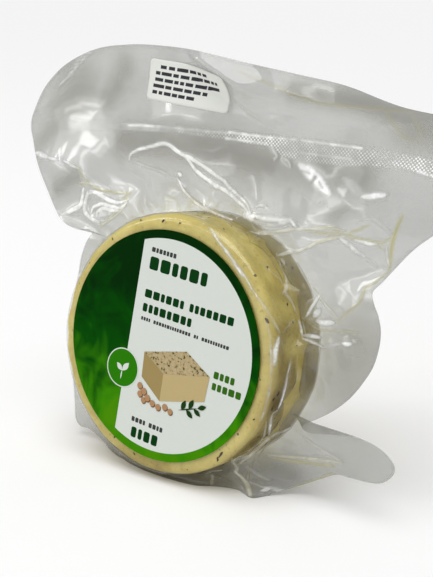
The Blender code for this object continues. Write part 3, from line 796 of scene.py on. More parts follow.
def wrinkle_place(across, up):
    """Distance past the wrinkle's foot, and a bell curve of the distance from its middle."""
    right, above = across - WRINKLE_FOOT[0], up - WRINKLE_FOOT[1]
    past = right * math.cos(WRINKLE_TURN) + above * math.sin(WRINKLE_TURN)
    beside = right * math.sin(WRINKLE_TURN) - above * math.cos(WRINKLE_TURN) - WRINKLE_MIDDLE
    return past, np.exp(-(beside / WRINKLE_HALF_LENGTH) ** 4)


def wrinkle_lift(across, up):
    """Forward lift of the film: up the wrinkle's near side, then down like a bell curve."""
    past, share = wrinkle_place(across, up)
    _, run, rise = wrinkle_sheet()
    fall = np.exp(-(np.clip(past - run[-1], 0.0, None) / WRINKLE_FALL) ** 2)
    return np.interp(past, run, rise, left=0.0) * fall * share


def line_distance(points, line):
    """Distance to a line of straight stretches, and the share of its length at the nearest place."""
    line = np.asarray(line, dtype=float)
    lengths = np.linalg.norm(np.diff(line, axis=0), axis=1)
    marks = np.insert(np.cumsum(lengths), 0, 0.0) / lengths.sum()
    least = np.full(points.shape[:-1], 1e9)
    along = np.zeros(points.shape[:-1])
    for start, end, first, last in zip(line[:-1], line[1:], marks[:-1], marks[1:]):
        run = end - start
        share = np.clip((points - start) @ run / (run @ run), 0.0, 1.0)
        gap = np.linalg.norm(points - start - share[..., None] * run, axis=-1)
        along = np.where(gap < least, first + share * (last - first), along)
        least = np.minimum(least, gap)
    return least, along


def fold_relief(points, folds):
    """Folds that taper to their ends: a sharp crest, exp(-distance / half width), on a foot four times wider.

    Their painted highlight is exp(-(distance / width) ** 3) with a faint halo, less what dark streaks take
    from it.
    """
    sway = [soft_field(points, FOLD_SWAY_SIZE, 60 + axis) for axis in range(points.shape[-1])]
    points = points + FOLD_SWAY * np.stack(sway, axis=-1)
    crest = np.zeros(points.shape[:-1])
    hollow = np.zeros(points.shape[:-1])
    painted_shine = np.zeros(points.shape[:-1])
    shade = np.zeros(points.shape[:-1])
    oil = np.zeros(points.shape[:-1])
    for height, half_width, bright, bright_width, oiliness, line in folds:
        distance, along = line_distance(points, softened(line))
        taper = FOLD_END + (1.0 - FOLD_END) * np.sin(math.pi * np.clip(along, 0.0, 1.0)) ** 0.6
        sharp = FOLD_CREST * np.exp(-distance / half_width)
        rise = height * taper * (sharp + FOLD_FOOT * np.exp(-distance / (4 * half_width)))
        crest = np.maximum(crest, rise)
        hollow = np.minimum(hollow, rise)
        glow = np.exp(-(distance / (bright_width * taper)) ** 3)
        glow = np.minimum(glow + FOLD_HALO * np.exp(-distance / (3 * bright_width)), 1.0)
        painted_shine = np.maximum(painted_shine, bright * np.sqrt(taper) * glow)
        shade = np.maximum(shade, -bright * np.exp(-(distance / bright_width) ** 2))
        oil = np.maximum(oil, oiliness * taper * np.exp(-(distance / OIL_WIDTH) ** 2))
    return crest + hollow, painted_shine * (1.0 - shade), oil


def crumple(points, size, seed):
    """Sharp small creases: 1 minus twice the size of a soft field, so its zero lines are crests."""
    return 1.0 - 2.0 * np.abs(soft_field(points, size, seed))


def facets(points, size, slope, seed):
    """Flat sides that meet in creases: four triangle waves in seeded directions, bent by a soft field."""
    draw = np.random.default_rng(seed)
    total = np.zeros(points.shape[:-1])
    for step in range(FACET_WAVES):
        direction = draw.normal(size=points.shape[-1])
        direction /= np.linalg.norm(direction)
        wave = size * draw.uniform(*WAVE_SPREAD)
        bend = FACET_BEND * soft_field(points, FACET_BEND_SIZE * size, seed + step)
        bent = points @ direction / wave + draw.uniform() + bend
        total += wave / FACET_WAVES * slope * (1.0 - 4.0 * np.abs(bent % 1.0 - 0.5))
    return total


def wall_line_points(line):
    """Angle in degrees, radius and forward to across, up and forward."""
    line = np.asarray(line, dtype=float)
    angle = np.radians(line[:, 0])
    return np.column_stack([line[:, 1] * np.cos(angle), line[:, 1] * np.sin(angle), line[:, 2]])


def flap_relief(across, up):
    """Relief of the free flap: waves, wrinkle, facets and folds added up. Also the folds' painted highlight
    and oil.
    """
    flat = np.stack([across, up], axis=-1)
    folds, painted_shine, oil = fold_relief(flat, FLAP_FOLDS)
    surface = np.stack([across, up, 0 * across], axis=-1)
    rough = facets(surface, FACET_SIZE, FACET_SLOPE, 22)
    rough = np.clip((CALM_HEIGHT - up) / CALM_REACH, CALM_LEAST, 1.0) * rough
    soft = flap_wave(across, up) + wrinkle_lift(across, up) + rough
    return soft + folds, painted_shine, oil


def flap_middle(angles, outline, shares):
    """Middle surface of the flap: straight from rim to outline, bent forward by its relief and pleats."""
    rim = WHEEL_RADIUS * np.stack([np.cos(angles), np.sin(angles)], axis=-1)
    share = shares[:, None, None]
    flat = rim + share * (outline[:, :2] - rim)
    free = 1.0 - below_share(angles)
    distance = shares[:, None] * np.linalg.norm(outline[:, :2] - rim, axis=1)
    ramp = np.minimum(1.0, distance / RIM_RAMP)
    surface = np.concatenate([flat, 0 * flat[..., :1]], axis=-1)
    relief, painted_shine, oil = flap_relief(flat[..., 0], flat[..., 1])
    relief = relief + PLEAT_HEIGHT * np.cos(PLEATS * angles) * np.exp(-distance / PLEAT_REACH)
    relief = relief + CRUMPLE_HEIGHT * np.exp(-distance / CRUMPLE_REACH) * crumple(surface, CRUMPLE_SIZE, 21)
    forward = outline[:, 2] * shares[:, None] ** EDGE_BEND + free * ramp * relief
    patches = np.clip(OIL_PATCH_GAIN * crumple(surface, OIL_PATCH_SIZE, 23), OIL_LEAST, 1.0)
    creep = OIL_CREEP * np.exp(-distance / OIL_REACH) * patches
    # Painted shade: the listed darker places on the flap
    painted_shade = np.zeros(distance.shape)
    for strength, half_width, line in PAINTED_SHADE_PLACES:
        painted_shade = np.maximum(painted_shade, strength * np.exp(-(line_distance(flat, line)[0] / half_width) ** 2))
    # Painted shade on the wheel's back half, seen through the flap beside it, mottled
    behind = np.exp(-(angle_gap(angles, BEHIND_ANGLE) / BEHIND_HALF_WIDTH) ** 2)
    near = np.exp(-(distance / (CLEAR_REACH + BEHIND_REACH * behind)) ** NEAR_BEND)
    mottled = MOTTLE_LEVEL + MOTTLE_DEPTH * soft_field(surface, MOTTLE_SIZE, 24)
    painted_shade = np.clip(np.maximum(painted_shade, BEHIND_PAINTED_SHADE * behind * near * mottled), 0.0, 1.0)
    marks = {"painted_shine": painted_shine, "oily": np.maximum(oil, creep), "painted_shade": painted_shade, "on_wheel": near}
    return np.concatenate([flat, forward[..., None]], axis=-1), distance, marks


def row_normals(rows):
    """Forward-facing unit normals: the cross product of the steps out and around."""
    out = np.gradient(rows, axis=0)
    around = np.roll(rows, -1, axis=1) - np.roll(rows, 1, axis=1)
    normals = np.cross(out, around)
    return normals / np.linalg.norm(normals, axis=2, keepdims=True)


def lay_on_floor(points):
    """Bring what lies within the contact height down, or up, onto the floor."""
    height = CENTRE_HEIGHT + points[..., 1] * math.cos(LEAN) + points[..., 2] * math.sin(LEAN)
    resting = FLOOR_GAP - (CENTRE_HEIGHT + points[..., 2] * math.sin(LEAN)) / math.cos(LEAN)
    points[..., 1] = np.where(height < FLOOR_CONTACT, resting, points[..., 1])
    return points


angles, outline = pouch_columns()


def web_profile(side):
    """Where each column leaves the wall, with tents between, and how steeply it runs into the flap."""
    below = below_share(angles)
    surface = np.stack([WHEEL_RADIUS * np.cos(angles), WHEEL_RADIUS * np.sin(angles), 0 * angles], axis=-1)
    heights = WEB_HEIGHT + below * (WEB_HEIGHT_BELOW - WEB_HEIGHT)
    for centre, height, half_width in TENTS:
        heights = heights + height * np.exp(-np.abs(angle_gap(angles, centre)) / half_width)
    heights = heights + WEB_CRUMPLE * (1.0 - below) * crumple(surface, WEB_CRUMPLE_SIZE, 31 + int(side))
    lengths = np.linalg.norm(outline[:, :2] - surface[:, :2], axis=1)
    return heights, np.maximum(lengths / (WEB_REACH + below * (WEB_REACH_BELOW - WEB_REACH)), 1.0)


def wheel_skin(side, web_heights):
    """The film on the wheel: rings over the face, the rounded edge and the wall, lifted by its folds."""
    half = WHEEL_DEPTH / 2
    turn = np.linspace(0, math.pi / 2, EDGE_ROWS + 1)[1:]
    face_radii = np.array(FACE_RINGS) * (WHEEL_RADIUS - EDGE_RADIUS)
    radii = np.concatenate([face_radii, WHEEL_RADIUS - EDGE_RADIUS * (1 - np.sin(turn))])
    forward = np.concatenate([np.full(len(FACE_RINGS), half), half - EDGE_RADIUS * (1 - np.cos(turn))])
    lean_out = np.concatenate([np.zeros(len(FACE_RINGS)), np.sin(turn)])[:, None, None]
    outward = np.stack([np.cos(angles), np.sin(angles), 0 * angles], axis=-1)
    facing = np.array([0.0, 0.0, side])
    drum = radii[:, None, None] * outward + facing * forward[:, None, None]
    drum_normals = lean_out * outward + facing * np.sqrt(1 - lean_out ** 2)
    down = np.linspace(0.0, 1.0, WALL_ROWS + 1)[1:-1, None]
    wall_forward = (half - EDGE_RADIUS) + down * (web_heights - (half - EDGE_RADIUS))
    wall = WHEEL_RADIUS * outward + facing * wall_forward[..., None]
    body = np.concatenate([drum, wall])
    normals = np.concatenate([drum_normals, np.broadcast_to(outward, wall.shape)])
    folds = [(*fold[:5], wall_line_points(fold[5])) for fold in WALL_FOLDS] if side > 0 else []
    relief, painted_shine, oil = fold_relief(body, folds)
    off_face = np.linspace(OFF_FACE_START, 1.0, len(body) - len(FACE_RINGS))
    tight = np.concatenate([np.zeros(len(FACE_RINGS)), off_face])[:, None]
    ease = np.clip(1.0 - (body[..., 2] * side < EASE_HEIGHT * web_heights) * EASE_SHARE, 0.0, 1.0)
    relief = relief * np.minimum(1.0, tight * 4) * ease
    relief = relief + WALL_CRUMPLE * tight * np.maximum(0.0, crumple(body, WALL_CRUMPLE_SIZE, 41 + int(side)))
    relief = relief + tight * facets(body, WALL_FACET_SIZE, WALL_FACET_SLOPE, 45)
    # Painted shade over the lower right wall, turned from the light, and under the wheel
    shaded_wall = np.exp(-(angle_gap(angles, WALL_SHADE_ANGLE) / WALL_SHADE_HALF_WIDTH) ** 2)
    painted_shade = shaded_wall * np.clip((WALL_SHADE_FRONT - body[..., 2] * side) / WALL_SHADE_BLUR, 0.0, 1.0)
    painted_shade = np.clip(painted_shade * (WALL_SHADE_LEVEL + WALL_SHADE_DEPTH * soft_field(body, WALL_SHADE_SIZE, 44)), 0.0, 1.0)
    under = np.exp(-(angle_gap(angles, UNDER_ANGLE) / UNDER_HALF_WIDTH) ** 2)
    painted_shade = np.maximum(painted_shade, UNDER_PAINTED_SHADE * under)
    marks = {"painted_shine": painted_shine, "oily": oil, "painted_shade": painted_shade, "on_wheel": np.ones(painted_shade.shape)}
    return bulged(body + normals * relief[..., None]), marks


def film_sheet(side, flap_rows):
    """One sheet: the skin on the wheel, then the flap, offset to the given side and webbed to the wall."""
    web_heights, web_powers = web_profile(side)
    body, body_marks = wheel_skin(side, web_heights)
    shares = np.linspace(0.0, 1.0, flap_rows) ** ROW_POWER
    flap, distance, flap_marks = flap_middle(angles, outline, shares)
    share = shares[:, None]
    web = (web_heights - SHEET_GAP) * (1.0 - share) ** web_powers
    lean_out = (1.0 - share)[..., None] * np.array([0.0, 0.0, 1.0]) + share[..., None] * row_normals(flap)
    skirt = bulged(flap + side * lean_out * (SHEET_GAP + web)[..., None])
    rows = lay_on_floor(np.concatenate([body, skirt]))
    marks = {key: np.concatenate([body_marks[key], flap_marks[key]]) for key in body_marks}
    edge = np.broadcast_to(share ** BORDER_POWER, distance.shape)
    marks["border"] = np.concatenate([np.zeros(body.shape[:2]), edge])
    return rows, marks, len(body)


def between_lines(points, top, foot, blur):
    """1 between two lines that run across, falling to 0 over the blur: a product of two soft steps."""
    top, foot = np.array(top, dtype=float), np.array(foot, dtype=float)
    over = np.interp(points[..., 0], top[:, 0], top[:, 1]) - points[..., 1]
    under = points[..., 1] - np.interp(points[..., 0], foot[:, 0], foot[:, 1])
    return np.clip(over / blur + 0.5, 0.0, 1.0) * np.clip(under / blur + 0.5, 0.0, 1.0)


def add_film(side, flap_rows, parts, material):
    """A sheet of film that faces out of the pouch, closed at its middle, in parts with shared normals."""
    rows, marks, body_rows = film_sheet(side, flap_rows)
    whites = np.array(SEAL_WHITES_AND_GLINTS, dtype=float)
    whiteness_and_glint = np.interp(rows[..., 0], whites[:, 0], whites[:, 1])
    marks["seal"] = whiteness_and_glint * between_lines(rows, SEAL_TOP, SEAL_FOOT, SEAL_BLUR)
    # Painted highlights along the seal's lines
    for strength, line in SEAL_LINES:
        glint = strength * np.exp(-(line_distance(rows[..., :2], line)[0] / SEAL_LINE_WIDTH) ** 2)
        marks["painted_shine"] = np.maximum(marks["painted_shine"], glint)
    marks["across"] = rows[..., 0]
    marks["up"] = rows[..., 1]
    normals = side * row_normals(rows)
    split = body_rows + flap_rows // 2
    limits = {
        "skin": (0, body_rows + 1), "flap": (body_rows, len(rows)), "inner": (body_rows, split + 1),
        "outer": (split, len(rows)),
    }
    for name, part in parts:
        first, last = limits[part]
        points, turned_out = rows[first:last].reshape(-1, 3), normals[first:last].reshape(-1, 3)
        values = {key: mark[first:last].ravel() for key, mark in marks.items()}
        quads = ring_faces(last - first, FILM_COLUMNS, True)
        faces = list(quads if side > 0 else quads[:, ::-1])
        if first == 0:
            points = np.vstack([points, [[0.0, 0.0, side * WHEEL_DEPTH / 2]]])
            turned_out = np.vstack([turned_out, [[0.0, 0.0, side]]])
            values = {key: np.append(mark, key == "on_wheel") for key, mark in values.items()}
            faces += list(pole_faces(0, FILM_COLUMNS, len(points) - 1, side > 0))
        build_piece(name, points, faces, material, "vacuum_bag", values, normals=turned_out)


def attribute_node(nodes, name):
    """The value of a point attribute."""
    node = nodes.new("ShaderNodeAttribute")
    node.attribute_name = name
    return node.outputs["Fac"]


def film_material():
    """Clear glossy film: grey haze where the sheets lie free, oily folds, painted highlights and shade, seal
    crimps.

    Haze is a share of diffuse in the clear film. The gloss grows as Facing ** 5 from 0.05 to 1.
    """
    material, nodes, links, output = new_material("barrier film")
    place = nodes.new("ShaderNodeTexCoord").outputs["Object"]
    on_wheel = attribute_node(nodes, "on_wheel")
    oily = attribute_node(nodes, "oily")
    painted_shine = attribute_node(nodes, "painted_shine")
    painted_shade = attribute_node(nodes, "painted_shade")
    seal = attribute_node(nodes, "seal")
    pitch = 2 * math.pi / SEAL_PITCH
    waves = []
    for way in ("across", "up"):
        turns = math_node(nodes, links, "MULTIPLY", attribute_node(nodes, way), pitch)
        waves.append(math_node(nodes, links, "SINE", turns))
    dots = math_node(nodes, links, "MULTIPLY", *waves)
    crimp = math_node(nodes, links, "MULTIPLY", dots, seal)
    patches = noise_node(nodes, links, place, 24.0, 2.0)
    crinkle = noise_node(nodes, links, place, 60.0, 1.0, 0.4, 0.6)
    height = math_node(nodes, links, "MULTIPLY_ADD", crimp, 0.35, crinkle)
    normal = bump_node(nodes, links, height, 0.16, 0.0006)

    free = math_node(nodes, links, "SUBTRACT", 1.0, on_wheel)
    mottled = math_node(nodes, links, "MULTIPLY_ADD", patches, HAZE_PATCHES, HAZE_FREE)
    haze = math_node(nodes, links, "MULTIPLY_ADD", free, mottled, HAZE_TIGHT)
    # Painted shade adds grey haze on the free flap
    painted_shade_free = math_node(nodes, links, "MULTIPLY", painted_shade, free)
    haze = math_node(nodes, links, "MULTIPLY_ADD", painted_shade_free, HAZE_PAINTED_SHADE, haze)
    haze = math_node(nodes, links, "MULTIPLY_ADD", oily, HAZE_OIL, haze)
    haze = math_node(nodes, links, "MULTIPLY_ADD", attribute_node(nodes, "border"), HAZE_BORDER, haze)
    # The seal's crimps: dots whose whiteness is partly their own and partly painted glint
    glint = math_node(nodes, links, "MULTIPLY_ADD", dots, CRIMP_CONTRAST, CRIMP_LEVEL)
    glint = math_node(nodes, links, "MAXIMUM", math_node(nodes, links, "MINIMUM", glint, 0.9), 0.14)
    glint = math_node(nodes, links, "MULTIPLY", glint, seal)
    # Painted highlights: the folds' painted shine and the seal's glints, broken up by fine noise, whiten the
    # haze
    sparkle = noise_node(nodes, links, place, 300.0, 2.0, 0.6)
    uneven = math_node(nodes, links, "MULTIPLY_ADD", sparkle, 3.0, -0.45)
    glint = math_node(nodes, links, "MULTIPLY", glint, math_node(nodes, links, "MAXIMUM", uneven, 0.25))
    broken = math_node(nodes, links, "MULTIPLY_ADD", sparkle, 2.4, -0.30)
    broken = math_node(nodes, links, "MAXIMUM", math_node(nodes, links, "MINIMUM", broken, 1.15), 0.80)
    bright = math_node(nodes, links, "MAXIMUM", math_node(nodes, links, "MULTIPLY", painted_shine, broken), glint)
    haze = math_node(nodes, links, "MULTIPLY_ADD", bright, HAZE_SHINE_AND_CRIMP, haze)
    # Painted shade greys the haze and darkens what shows through; oil tints both
    tint = mixed_colour(nodes, links, painted_shade, FILM_GREY, FILM_SHADE_GREY)
    tint = mixed_colour(nodes, links, oily, tint, FILM_OIL)
    tint = mixed_colour(nodes, links, bright, tint, SHINE_WHITE)
    clear = nodes.new("ShaderNodeBsdfTransparent")
    shade_clear = mixed_colour(nodes, links, on_wheel, PAINTED_SHADE_CLEAR, WHEEL_SHADE_CLEAR)
    through = mixed_colour(nodes, links, painted_shade, FILM_CLEAR, shade_clear)
    links.new(mixed_colour(nodes, links, oily, through, OIL_CLEAR), clear.inputs["Color"])
    milky = nodes.new("ShaderNodeBsdfDiffuse")
    links.new(tint, milky.inputs["Color"])
    links.new(normal, milky.inputs["Normal"])
    body = nodes.new("ShaderNodeMixShader")
    links.new(haze, body.inputs["Fac"])
    links.new(clear.outputs["BSDF"], body.inputs[1])
    links.new(milky.outputs["BSDF"], body.inputs[2])
    gloss = nodes.new("ShaderNodeBsdfGlossy")
    gloss.inputs["Roughness"].default_value = FILM_ROUGHNESS
    links.new(normal, gloss.inputs["Normal"])
    weight = nodes.new("ShaderNodeLayerWeight")
    weight.inputs["Blend"].default_value = 0.5
    links.new(normal, weight.inputs["Normal"])
    slant = math_node(nodes, links, "POWER", weight.outputs["Facing"], 5.0)
    gloss_share = nodes.new("ShaderNodeMixShader")
    share = math_node(nodes, links, "MULTIPLY_ADD", slant, 1.0 - FILM_GLOSS, FILM_GLOSS)
    links.new(share, gloss_share.inputs["Fac"])
    links.new(body.outputs["Shader"], gloss_share.inputs[1])
    links.new(gloss.outputs["BSDF"], gloss_share.inputs[2])
    links.new(gloss_share.outputs["Shader"], output.inputs["Surface"])
    return material


film = film_material()
front_parts = (("film_front_skin", "skin"), ("film_front_inner", "inner"), ("film_front_outer", "outer"))
add_film(1.0, FLAP_ROWS_FRONT, front_parts, film)
add_film(-1.0, FLAP_ROWS_BACK, (("film_back_skin", "skin"), ("film_back_flap", "flap")), film)

# The face label
# A round satin paper label stuck on the film over the front face, turned a little clockwise.
# Green ground with a white field, plain blocks for the lines of print, a ring badge and a small picture.
LABEL_TURN = math.radians(-5.9)
LABEL_TOP = LABEL_FORWARD + 0.15
FIELD_RADIUS = 39.4
FIELD_LEFT = -15.0
PRINT_LIFT = 0.03
GREEN_DARK = (0.0004, 0.022, 0.001)
GREEN_MID = (0.001, 0.062, 0.0006)
GREEN_BRIGHT = (0.040, 0.23, 0.001)
GREEN_GLOW = (0.065, 0.25, 0.001)
WHITE_PRINT = (0.66, 0.70, 0.65)
INK_GREEN = (0.003, 0.040, 0.006)
INK_LEAF = (0.035, 0.13, 0.008)
INK_GREY = (0.05, 0.05, 0.05)

# Print lines: left, right, low, high and the ink. Each is cut into blocks about as wide as high.
PRINT_BARS = (
    (-11.0, 0.5, 32.9, 34.6, "grey"), (-11.0, 16.0, 26.4, 31.2, "green"),
    (-11.0, 7.5, 15.9, 18.9, "green"), (9.5, 29.5, 15.9, 18.9, "green"), (-11.0, 12.0, 10.5, 13.6, "green"),
    (-11.0, -6.5, 7.2, 8.5, "grey"), (-5.2, 12.0, 7.2, 8.5, "grey"), (13.3, 15.5, 7.2, 8.5, "grey"),
    (16.8, 29.0, 7.2, 8.5, "grey"),
    (24.5, 34.0, -4.4, -1.8, "leaf"), (24.5, 37.6, -8.6, -6.0, "leaf"),
    (-8.0, -1.2, -31.2, -29.4, "grey"), (0.2, 7.0, -31.2, -29.4, "grey"),
        (-7.3, 6.0, -37.2, -33.2, "green"),
)
BLOCK_SHAPE = 0.95
BLOCK_GAP = 0.22
BLOCK_CORNER = 0.18
CORNER_STEPS = 6

# Ring badge across the white field's left edge, with a sprout of two leaves and a stem: x, y, length, width
# and turn
BADGE_CENTRE = (-15.8, -12.9)
BADGE_RADIUS = 7.5
BADGE_LINE = 0.45
BADGE_GREEN = (0.022, 0.19, 0.002)
BADGE_LEAVES = ((0.0, -1.2, 4.6, 2.2, 55.0), (0.0, -1.2, 3.8, 2.0, 140.0), (-0.2, -4.6, 3.8, 0.6, 88.0))

# Picture: a cut block of herb cheese, a sprig before it and a few nuts
PICTURE_PALE = (0.52, 0.42, 0.25)
PICTURE_TAN = (0.40, 0.31, 0.16)
PICTURE_SPECK = (0.06, 0.07, 0.02)
PICTURE_FRONT = (0.50, 0.39, 0.19)
PICTURE_SIDE = (0.34, 0.25, 0.10)
PICTURE_LEAF = (0.012, 0.045, 0.008)
PICTURE_NUT = (0.42, 0.24, 0.12)
PICTURE_SHADE = (0.16, 0.08, 0.035)
PICTURE_BLOCK = (
    ("top", ((-7.0, -4.0), (3.0, -9.5), (23.0, -4.5), (11.5, 1.5))),
    ("side", ((-7.0, -4.0), (-6.5, -13.5), (3.2, -20.0), (3.0, -9.5))),
    ("front", ((3.0, -9.5), (3.2, -20.0), (22.5, -14.0), (23.0, -4.5))),
)
PICTURE_SPRIG = (
    (12.0, -20.5, 9.0, 0.5, 22.0), (13.5, -20.0, 4.2, 2.0, 75.0), (15.5, -19.2, 4.0, 1.9, -35.0),
    (16.5, -18.6, 4.2, 2.0, 70.0), (18.6, -17.8, 3.8, 1.8, -30.0), (20.2, -17.2, 4.0, 1.8, 25.0),
)
PICTURE_NUTS = (
    (-6.6, -17.0, 1.2), (-4.4, -18.6, 1.3), (-6.0, -20.0, 1.2), (-2.4, -20.6, 1.3), (0.2, -21.8, 1.2),
    (-4.0, -21.9, 1.1), (3.0, -22.4, 1.2), (6.0, -21.4, 1.2), (8.6, -22.3, 1.1),
)


def on_label(x, y, lift):
    """Label millimetres to the wheel's: turn by the label's angle, shift to its centre, lift off it."""
    across = LABEL_ACROSS + x * math.cos(LABEL_TURN) - y * math.sin(LABEL_TURN)
    up = LABEL_UP + x * math.sin(LABEL_TURN) + y * math.cos(LABEL_TURN)
    return np.stack([across, up, np.full_like(across, LABEL_TOP + lift)], axis=-1)


def print_patches(name, outlines, lift, material):
    """Flat printed patches in one piece: a face inside each outline, a hair above the label."""
    points, faces = [], []
    for outline in outlines:
        x, y = np.asarray(outline, dtype=float).T
        first = sum(len(block) for block in points)
        faces.append(range(first, first + len(x)))
        points.append(on_label(x, y, lift))
    build_piece(name, np.concatenate(points), faces, material, smooth=False)


def arc(radius, start, end, steps, x=0.0, y=0.0):
    """Points along a circle's arc, in degrees."""
    angle = np.radians(np.linspace(start, end, steps))
    return np.column_stack([x + radius * np.cos(angle), y + radius * np.sin(angle)])


def rounded_bar(left, right, low, high, corner):
    """Outline of a bar with rounded corners: four quarter arcs."""
    return np.vstack([
        arc(corner, 0, 90, CORNER_STEPS, right - corner, high - corner),
        arc(corner, 90, 180, CORNER_STEPS, left + corner, high - corner),
        arc(corner, 180, 270, CORNER_STEPS, left + corner, low + corner),
        arc(corner, 270, 360, CORNER_STEPS, right - corner, low + corner),
    ])


def satin_ink(name, colour, roughness=0.42):
    """Printed ink with a faint paper grain."""
    material, nodes, links, output = new_material(name)
    place = nodes.new("ShaderNodeTexCoord").outputs["Object"]
    grain = noise_node(nodes, links, place, 900.0)
    shader = nodes.new("ShaderNodeBsdfPrincipled")
    shader.inputs["Base Color"].default_value = (*colour, 1.0)
    shader.inputs["Roughness"].default_value = roughness
    shader.inputs["Specular IOR Level"].default_value = 0.02
    links.new(bump_node(nodes, links, grain, 0.05, 0.0001), shader.inputs["Normal"])
    links.new(shader.outputs["BSDF"], output.inputs["Surface"])
    return material


def label_ground_material():
    """Green print: dark at the top, bright at the foot, with soft leafy mottling between."""
    material, nodes, links, output = new_material("green label print")
    coordinates = nodes.new("ShaderNodeTexCoord").outputs["Object"]
    place = nodes.new("ShaderNodeMapping")
    place.inputs["Location"].default_value = tuple(-label_centre)
    links.new(coordinates, place.inputs["Vector"])
    split = nodes.new("ShaderNodeSeparateXYZ")
    links.new(place.outputs["Vector"], split.inputs["Vector"])
    mottle = noise_node(nodes, links, place.outputs["Vector"], 75.0, 2.5, 0.5, 1.2)
    rise = math_node(nodes, links, "MULTIPLY_ADD", split.outputs["Z"], 10.5, 0.60)
    uneven = math_node(nodes, links, "SUBTRACT", mottle, 0.5)
    shade = math_node(nodes, links, "MULTIPLY_ADD", uneven, 0.8, rise)
    stops = ((0.10, GREEN_GLOW), (0.28, GREEN_BRIGHT), (0.58, GREEN_MID), (0.88, GREEN_DARK))
    colour = ramp_node(nodes, links, shade, stops)
    shader = nodes.new("ShaderNodeBsdfPrincipled")
    shader.inputs["Roughness"].default_value = 0.38
    shader.inputs["Specular IOR Level"].default_value = 0.02
    links.new(colour, shader.inputs["Base Color"])
    links.new(shader.outputs["BSDF"], output.inputs["Surface"])
    return material


label_object = bpy.data.objects["face_label"]
label_object.data.materials.clear()
label_object.data.materials.append(label_ground_material())

white_print = satin_ink("white print", WHITE_PRINT)
inks = {
    "green": satin_ink("green ink", INK_GREEN), "leaf": satin_ink("leaf ink", INK_LEAF),
    "grey": satin_ink("grey ink", INK_GREY),
}
field_half = math.degrees(math.acos(FIELD_LEFT / FIELD_RADIUS))
white_field = arc(FIELD_RADIUS, -field_half, field_half, 120)
print_patches("label_white_field", [white_field], PRINT_LIFT, white_print)
draw = np.random.default_rng(17)
blocks = {ink: [] for ink in inks}
for left, right, low, high, ink in PRINT_BARS:
    count = max(1, round((right - left) / (BLOCK_SHAPE * (high - low))))
    widths = draw.uniform(0.75, 1.25, count)
    cuts = left + (right - left) * np.insert(np.cumsum(widths / widths.sum()), 0, 0.0)
    gap = BLOCK_GAP * (high - low)
    corner = BLOCK_CORNER * (high - low)
    ends = zip(cuts[:-1], cuts[1:])
    blocks[ink] += [rounded_bar(start, end - gap, low, high, corner) for start, end in ends]
for ink, outlines in blocks.items():
    print_patches(f"label_lines_{ink}", outlines, 2 * PRINT_LIFT, inks[ink])


def picture_material():
    """Printed cheese: tan with dark herb specks where the noise runs high."""
    material, nodes, links, output = new_material("printed curd")
    place = nodes.new("ShaderNodeTexCoord").outputs["Object"]
    specks = noise_node(nodes, links, place, 900.0, 2.0)
    stops = ((0.30, PICTURE_PALE), (0.58, PICTURE_TAN), (0.64, PICTURE_SPECK))
    shader = nodes.new("ShaderNodeBsdfPrincipled")
    shader.inputs["Roughness"].default_value = 0.42
    shader.inputs["Specular IOR Level"].default_value = 0.02
    links.new(ramp_node(nodes, links, specks, stops), shader.inputs["Base Color"])
    links.new(shader.outputs["BSDF"], output.inputs["Surface"])
    return material


def leaf_outline(x, y, length, width, turn):
    """A pointed leaf: half width times sin(pi t) along its length, mirrored, then turned and moved."""
    t = np.linspace(0, 1, 14)
    along = np.concatenate([t, t[::-1][1:-1]]) * length
    beside = np.concatenate([np.sin(math.pi * t), -np.sin(math.pi * t)[::-1][1:-1]]) * width / 2
    turn = math.radians(turn)
    leaf_x = x + along * math.cos(turn) - beside * math.sin(turn)
    leaf_y = y + along * math.sin(turn) + beside * math.cos(turn)
    return np.column_stack([leaf_x, leaf_y])[::-1]


badge_ink = satin_ink("badge green", BADGE_GREEN)
print_patches("badge_edge", [arc(BADGE_RADIUS, 0, 354, 60, *BADGE_CENTRE)], 3 * PRINT_LIFT, white_print)
badge_ground = arc(BADGE_RADIUS - BADGE_LINE, 0, 354, 60, *BADGE_CENTRE)
print_patches("badge_ground", [badge_ground], 4 * PRINT_LIFT, badge_ink)
sprout = [
    leaf_outline(BADGE_CENTRE[0] + x, BADGE_CENTRE[1] + y, length, width, turn)
    for x, y, length, width, turn in BADGE_LEAVES
]
print_patches("badge_sprout", sprout, 5 * PRINT_LIFT, white_print)

picture_inks = {
    "top": picture_material(), "front": satin_ink("picture front", PICTURE_FRONT),
    "side": satin_ink("picture side", PICTURE_SIDE),
}
for number, (ink, outline) in enumerate(PICTURE_BLOCK):
    print_patches(f"picture_{ink}", [outline], (3 + number) * PRINT_LIFT, picture_inks[ink])
shades = [arc(radius, 0, 340, 18, x + 0.3, y - 0.3) for x, y, radius in PICTURE_NUTS]
print_patches("picture_shades", shades, 6 * PRINT_LIFT, satin_ink("picture shade", PICTURE_SHADE))
nuts = [arc(radius, 0, 340, 18, x, y) for x, y, radius in PICTURE_NUTS]
print_patches("picture_nuts", nuts, 7 * PRINT_LIFT, satin_ink("picture nut", PICTURE_NUT))
sprig = [leaf_outline(*leaf) for leaf in PICTURE_SPRIG]
print_patches("picture_sprig", sprig, 8 * PRINT_LIFT, satin_ink("picture leaf", PICTURE_LEAF))

# The sticker
# A small white paper sticker on the upper flap, with rows of plain dark marks.
# It is stuck on the film, so its top right corner lifts with a wrinkle of the flap.
STICKER_WIDTH = 37.0
STICKER_HEIGHT = 15.0
STICKER_ACROSS = -9.5
STICKER_UP = 93.0
STICKER_TURN = math.radians(-4.5)
STICKER_LIFT = 1.1
STICKER_CORNER = 1.6
STICKER_CELLS = (60, 26)
STICKER_WHITE = (0.74, 0.75, 0.71)
STICKER_INK = (0.045, 0.045, 0.05)
STICKER_THICKNESS = 0.15

